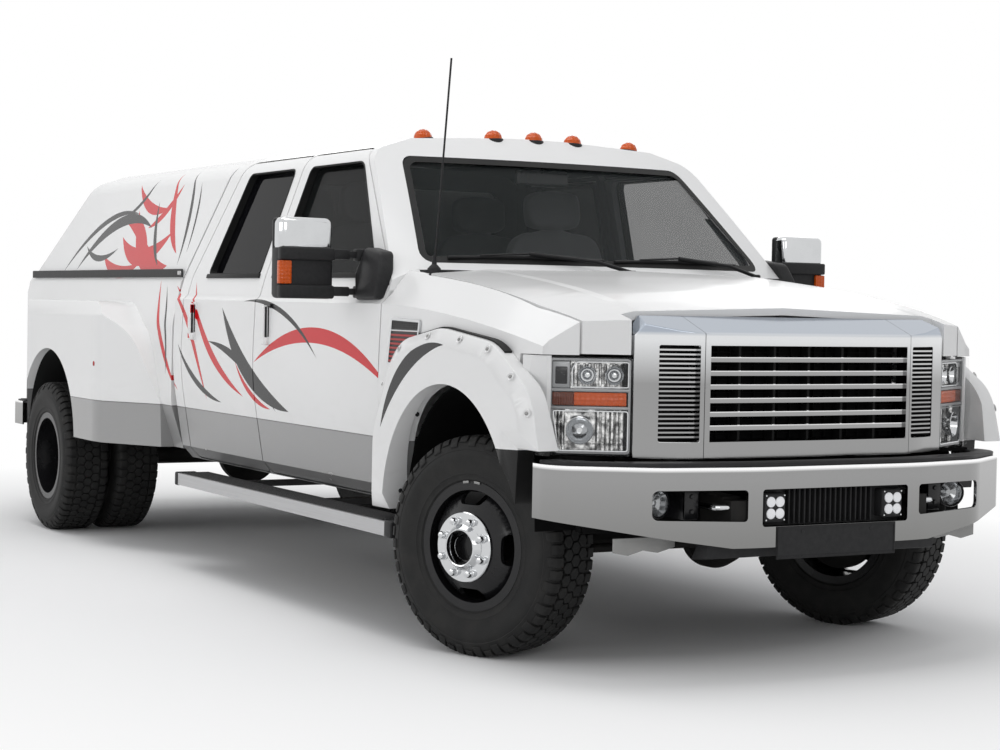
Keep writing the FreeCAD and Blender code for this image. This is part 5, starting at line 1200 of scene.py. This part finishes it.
def make_cabin():
    """Seats, steering wheel, dashboard details and the inside mirror."""
    cushion("seat_cushions", (-0.19, -0.255, 0.92), (0.305, 0.255, 1.065), -4)
    cushion("seat_backs", (-0.315, -0.250, 0.985), (-0.195, 0.250, 1.625), -12)
    cushion("head_rests", (-0.375, -0.135, 1.640), (-0.275, 0.135, 1.812), -6, 0.012)
    foot = gather(block((-0.150, -0.215, 0.662), (0.250, 0.215, 0.925), 0.02),
                  tube([(-0.315, 0.06, 1.55), (-0.325, 0.06, 1.68)], 0.006),
                  tube([(-0.315, -0.06, 1.55), (-0.325, -0.06, 1.68)], 0.006))
    piece("seat_frames", put(foot, *SEAT_PLACES), DARK_TRIM, "seats")
    axis = Vector((-0.85, 0, 0.5)).normalized()
    tilt = moved(-1.130, 0.430, 1.230) @ axis.to_track_quat("Y", "X").to_matrix().to_4x4()
    wheel = turned(arc((0.190, 0), 0.015, 0, 330, 11), 56, closed=True)
    add(wheel, drum(0.062, -0.020, 0.022, 0.012, 32))
    for turn in (90, -90, 205, 155):
        spoke = slab("xz", [(-0.016, 0.03), (0.016, 0.03), (0.011, 0.185), (-0.011, 0.185)], -0.006, 0.006,
                     0.003)
        add(wheel, spoke, spin("Y", turn))
    column = put(wheel, tilt)
    add(column, tube([at(-0.955, 0.43, 1.128), at(-1.12, 0.43, 1.224)], 0.030, 20))
    piece("steering_wheel_finished", column, DARK_TRIM, "steering_wheel", ["steering_wheel"],
          50)
    soften("dashboard", 0.02, DARK_TRIM)
    hoods = slab("xz", ahead([(-0.94, 1.335), (-0.78, 1.395), (-0.70, 1.395), (-0.93, 1.30)]), 0.22, 0.64,
                 0.008)
    trim = put(hoods)
    add(trim, blocks([((-0.966, y - 0.065, 1.235), (-0.955, y + 0.065, 1.300), 0.006)
                      for y in (-0.62, -0.12, 0.12, 0.70)]))
    add(trim, block(at(-1.135, -0.125, 1.795), at(-1.105, 0.135, 1.868), 0.012, 3))
    add(trim, tube([at(-1.11, 0.0, 1.855), at(-1.075, 0.0, 1.885)], 0.011))
    piece("cabin_trim", trim, GLOSS_BLACK, "dashboard")


def make_boards():
    """Running boards with black caps and ribbed treads."""
    soften("running_boards", 0.003, BOARD)
    extra = blocks([((low, 0.980, 0.388), (high, 1.0835, 0.4515), 0.008, 3)
                    for low, high in ((-2.668, -2.630), (-0.400, -0.338))])
    add(extra, blocks([((-2.62, y, 0.4465), (-0.46, y + 0.006, 0.4500), 0.001, 1)
                       for y in (0.935 + 0.0145 * number for number in range(9))]))
    piece("board_treads", both(extra), BLACK_PLASTIC, "running_boards")


def make_canopy_fittings():
    """Canopy trim and clips, hatch glass and handle, tail lamps, tailgate handle and bumper steps."""
    soften("canopy_trim", 0.004, BLACK_PLASTIC)
    clip = block(at(-2.965, 0.962, 1.392), at(-2.925, 0.974, 1.412), 0.003)
    piece("trim_clips", both(clip), CHROME, "canopy_trim")
    run = 0.720
    rise = 0.595
    lie = moved(-5.440, 0, 1.380) @ Matrix.Rotation(math.atan2(run, rise), 4, "Y")
    glass = slab("yz", [(-0.585, 0.10), (0.585, 0.10), (0.545, 0.635), (-0.545, 0.635)], -0.0065, 0.001,
                 0.002, corner=0.05)
    piece("hatch_glass", put(glass, lie), REAR_GLASS, "canopy_hatch")
    pull = blocks([((-0.030, -0.075, 0.062), (0.0, 0.075, 0.085), 0.006, 3),
                   ((-0.012, -0.055, 0.050), (0.001, 0.055, 0.098), 0.005, 3)], flat)
    piece("hatch_handle", put(pull, lie), BLACK_PLASTIC, "canopy_hatch")
    rear = BED_REAR - AXLE
    lamps = blocks([((rear - 0.014, 0.903, 0.860), (rear + 0.030, 0.974, 1.250), 0.008, 3, 0),
                    ((rear - 0.0165, 0.909, 1.005), (rear + 0.010, 0.968, 1.090), 0.005, 2, 1),
                    ((rear - 0.0155, 0.907, 1.094), (rear + 0.010, 0.970, 1.244), 0.005, 2, 0)])
    piece("tail_lamps", both(lamps), [RED_LENS, CLEAR_LENS], "bed")
    handle = blocks([((rear - 0.004, -0.110, 1.195), (rear + 0.010, 0.110, 1.285), 0.006, 3),
                     ((rear - 0.016, -0.080, 1.215), (rear - 0.002, 0.080, 1.250), 0.006, 3)])
    piece("tailgate_handle", handle, BLACK_PLASTIC, "tailgate")
    low = REAR_AXLE - AXLE - 1.286
    rows = []
    for near, far in ((0.275, 0.985), (-0.985, -0.275)):
        rows.append(((low + 0.012, near, 0.6395), (low + 0.150, far, 0.6475), 0.003))
    for number in range(6):
        x = low + 0.028 + number * 0.020
        for near, far in ((0.285, 0.975), (-0.975, -0.285)):
            rows.append(((x, near, 0.646), (x + 0.009, far, 0.6505), 0.0015, 1))
    piece("bumper_steps", blocks(rows), BLACK_PLASTIC, "rear_bumper")


def make_camera():
    """The photograph's viewpoint."""
    focal_pixels = 2032
    frame_pixels = 1000
    spot = at(6.521, -4.482, 1.29)
    yaw = math.radians(150.64)
    pitch = math.radians(-1.78)
    roll = math.radians(1.08)
    view = Vector((math.cos(pitch) * math.cos(yaw), math.cos(pitch) * math.sin(yaw), math.sin(pitch)))
    level = view.cross(Vector((0, 0, 1))).normalized()
    up = level.cross(view)
    right = level * math.cos(roll) + up * math.sin(roll)
    top = up * math.cos(roll) - level * math.sin(roll)
    data = bpy.data.cameras.new("camera")
    data.sensor_width = 36
    data.lens = focal_pixels * data.sensor_width / frame_pixels
    data.shift_y = -0.0101
    data.clip_end = 200
    camera = bpy.data.objects.new("camera", data)
    camera.matrix_world = Matrix.Translation(spot) @ Matrix((right, top, -view)).transposed().to_4x4()
    bpy.context.scene.collection.objects.link(camera)
    bpy.context.scene.camera = camera


def white_to_camera(tree, plain_output, share=None):
    """White for camera, glossy and transmitted rays; the plain shader for the light on the object."""
    pale = tree.nodes.new("ShaderNodeEmission")
    pale.inputs["Color"].default_value = (1, 1, 1, 1)
    rays = tree.nodes.new("ShaderNodeLightPath").outputs
    steps = [("MAXIMUM", rays["Is Glossy Ray"]), ("MAXIMUM", rays["Is Transmission Ray"])]
    if share is not None:
        steps.append(("MULTIPLY", share))
    factor = rays["Is Camera Ray"]
    for operation, other in steps:
        node = tree.nodes.new("ShaderNodeMath")
        node.operation = operation
        tree.links.new(factor, node.inputs[0])
        tree.links.new(other, node.inputs[1])
        factor = node.outputs[0]
    blend = tree.nodes.new("ShaderNodeMixShader")
    for place, source in zip(blend.inputs, (factor, plain_output, pale.outputs[0])):
        tree.links.new(source, place)
    return blend.outputs[0]


def make_stage():
    """Pale floor that fades into a white background, and soft studio light."""
    bpy.context.scene.view_settings.view_transform = "Standard"
    work = bmesh.new()
    bmesh.ops.create_circle(work, cap_ends=True, segments=96, radius=60)
    floor = bpy.data.objects.new("floor", bpy.data.meshes.new("floor"))
    work.to_mesh(floor.data)
    work.free()
    shader = Shader("pale_floor")
    shader.set(Base_Color=0.96, Roughness=0.9, Specular_IOR_Level=0.0)
    x, y, _ = shader.place()
    away = (x * x * 0.55 + y * y).math("SQRT").fade(2.0, 4.4)
    output = next(node for node in shader.tree.nodes if node.type == "OUTPUT_MATERIAL")
    mixed = white_to_camera(shader.tree, shader.surface.outputs["BSDF"], away.socket)
    shader.tree.links.new(mixed, output.inputs["Surface"])
    floor.data.materials.append(shader.material)
    bpy.context.scene.collection.objects.link(floor)
    world = bpy.data.worlds.new("studio")
    world.use_nodes = True
    bpy.context.scene.world = world
    tree = world.node_tree
    tree.nodes.clear()
    out = tree.nodes.new("ShaderNodeOutputWorld")
    light = tree.nodes.new("ShaderNodeBackground")
    light.inputs["Color"].default_value = (0.97, 0.98, 1.0, 1)
    light.inputs["Strength"].default_value = 0.50
    tree.links.new(white_to_camera(tree, light.outputs[0]), out.inputs["Surface"])
    lamps = (
        ("overhead", (0.5, -1.5, 7.0), (0, 0, 0.5), (8, 2.5), 190),
        ("front_fill", (9.5, -3.0, 3.6), (0, 0, 0.8), (5, 2), 70),
        ("side_fill", (0.5, -9.0, 3.2), (0, 0, 0.9), (8, 2), 120),
        ("back_fill", (-8.0, 6.0, 4.5), (0, 0, 1.0), (7, 3), 90),
    )
    for name, spot, target, sides, power in lamps:
        data = bpy.data.lights.new(name, "AREA")
        data.shape = "RECTANGLE"
        data.size, data.size_y = sides
        data.energy = power
        lamp = bpy.data.objects.new(name, data)
        lamp.location = spot
        lamp.rotation_euler = (Vector(target) - Vector(spot)).to_track_quat("-Z", "Y").to_euler()
        bpy.context.scene.collection.objects.link(lamp)


make_camera()
make_stage()
for nodes, width, finish, slot in (
    (["cab_shell", "bed"], 0.004, PAINT, None),
    (["front_fenders"], 0.004, FENDER_PAINT, None),
    ([f"door_{place}_{side}" for side in SIDES for place in ("front", "rear")], 0.004, PAINT, None),
    (["hood"], 0.006, HOOD_PAINT, None),
    (["fender_flares"], 0.006, FLARE_PAINT, None),
    (["tailgate"], 0.006, PLAIN_PAINT, None),
    (["canopy", "canopy_hatch"], 0.008, CANOPY_PAINT, None),
    (["grille_surround"], 0.004, SURROUND, "chrome"),
    (["grille_bars"], 0.0015, GRILLE, "chrome"),
    (["front_bumper"], 0.007, BUMPER, "chrome"),
    (["rear_bumper"], 0.004, REAR_BUMPER, "chrome"),
):
    for node in nodes:
        soften(node, width, finish)
make_wheels()
make_lamps()
make_grille_depth()
make_bumper()
make_mirrors()
make_doors()
make_vents()
make_arches()
make_screen()
make_roof_lamps()
make_cabin()
make_boards()
make_canopy_fittings()

FINISHES = {
    UNDER_STEEL: ["frame_rails", "cross_members", "front_axle", "rear_axle", "front_springs", "rear_springs",
                  "tie_rod", "prop_shafts", "fuel_tank", "radiator"],
    CAST_IRON: ["engine", "gearbox"],
    EXHAUST_STEEL: ["exhaust"],
    BLACK_PLASTIC: ["cowl", "plate", "antenna"],
    SIDE_GLASS: ["door_glass_front_left", "door_glass_front_right"],
    REAR_GLASS: ["door_glass_rear_left", "door_glass_rear_right"],
    SCREEN_GLASS: ["screens"],
}
for finish, names in FINISHES.items():
    for name in names:
        node = frame["nodes"][name]
        node.data.materials.clear()
        node.data.materials.append(finish)
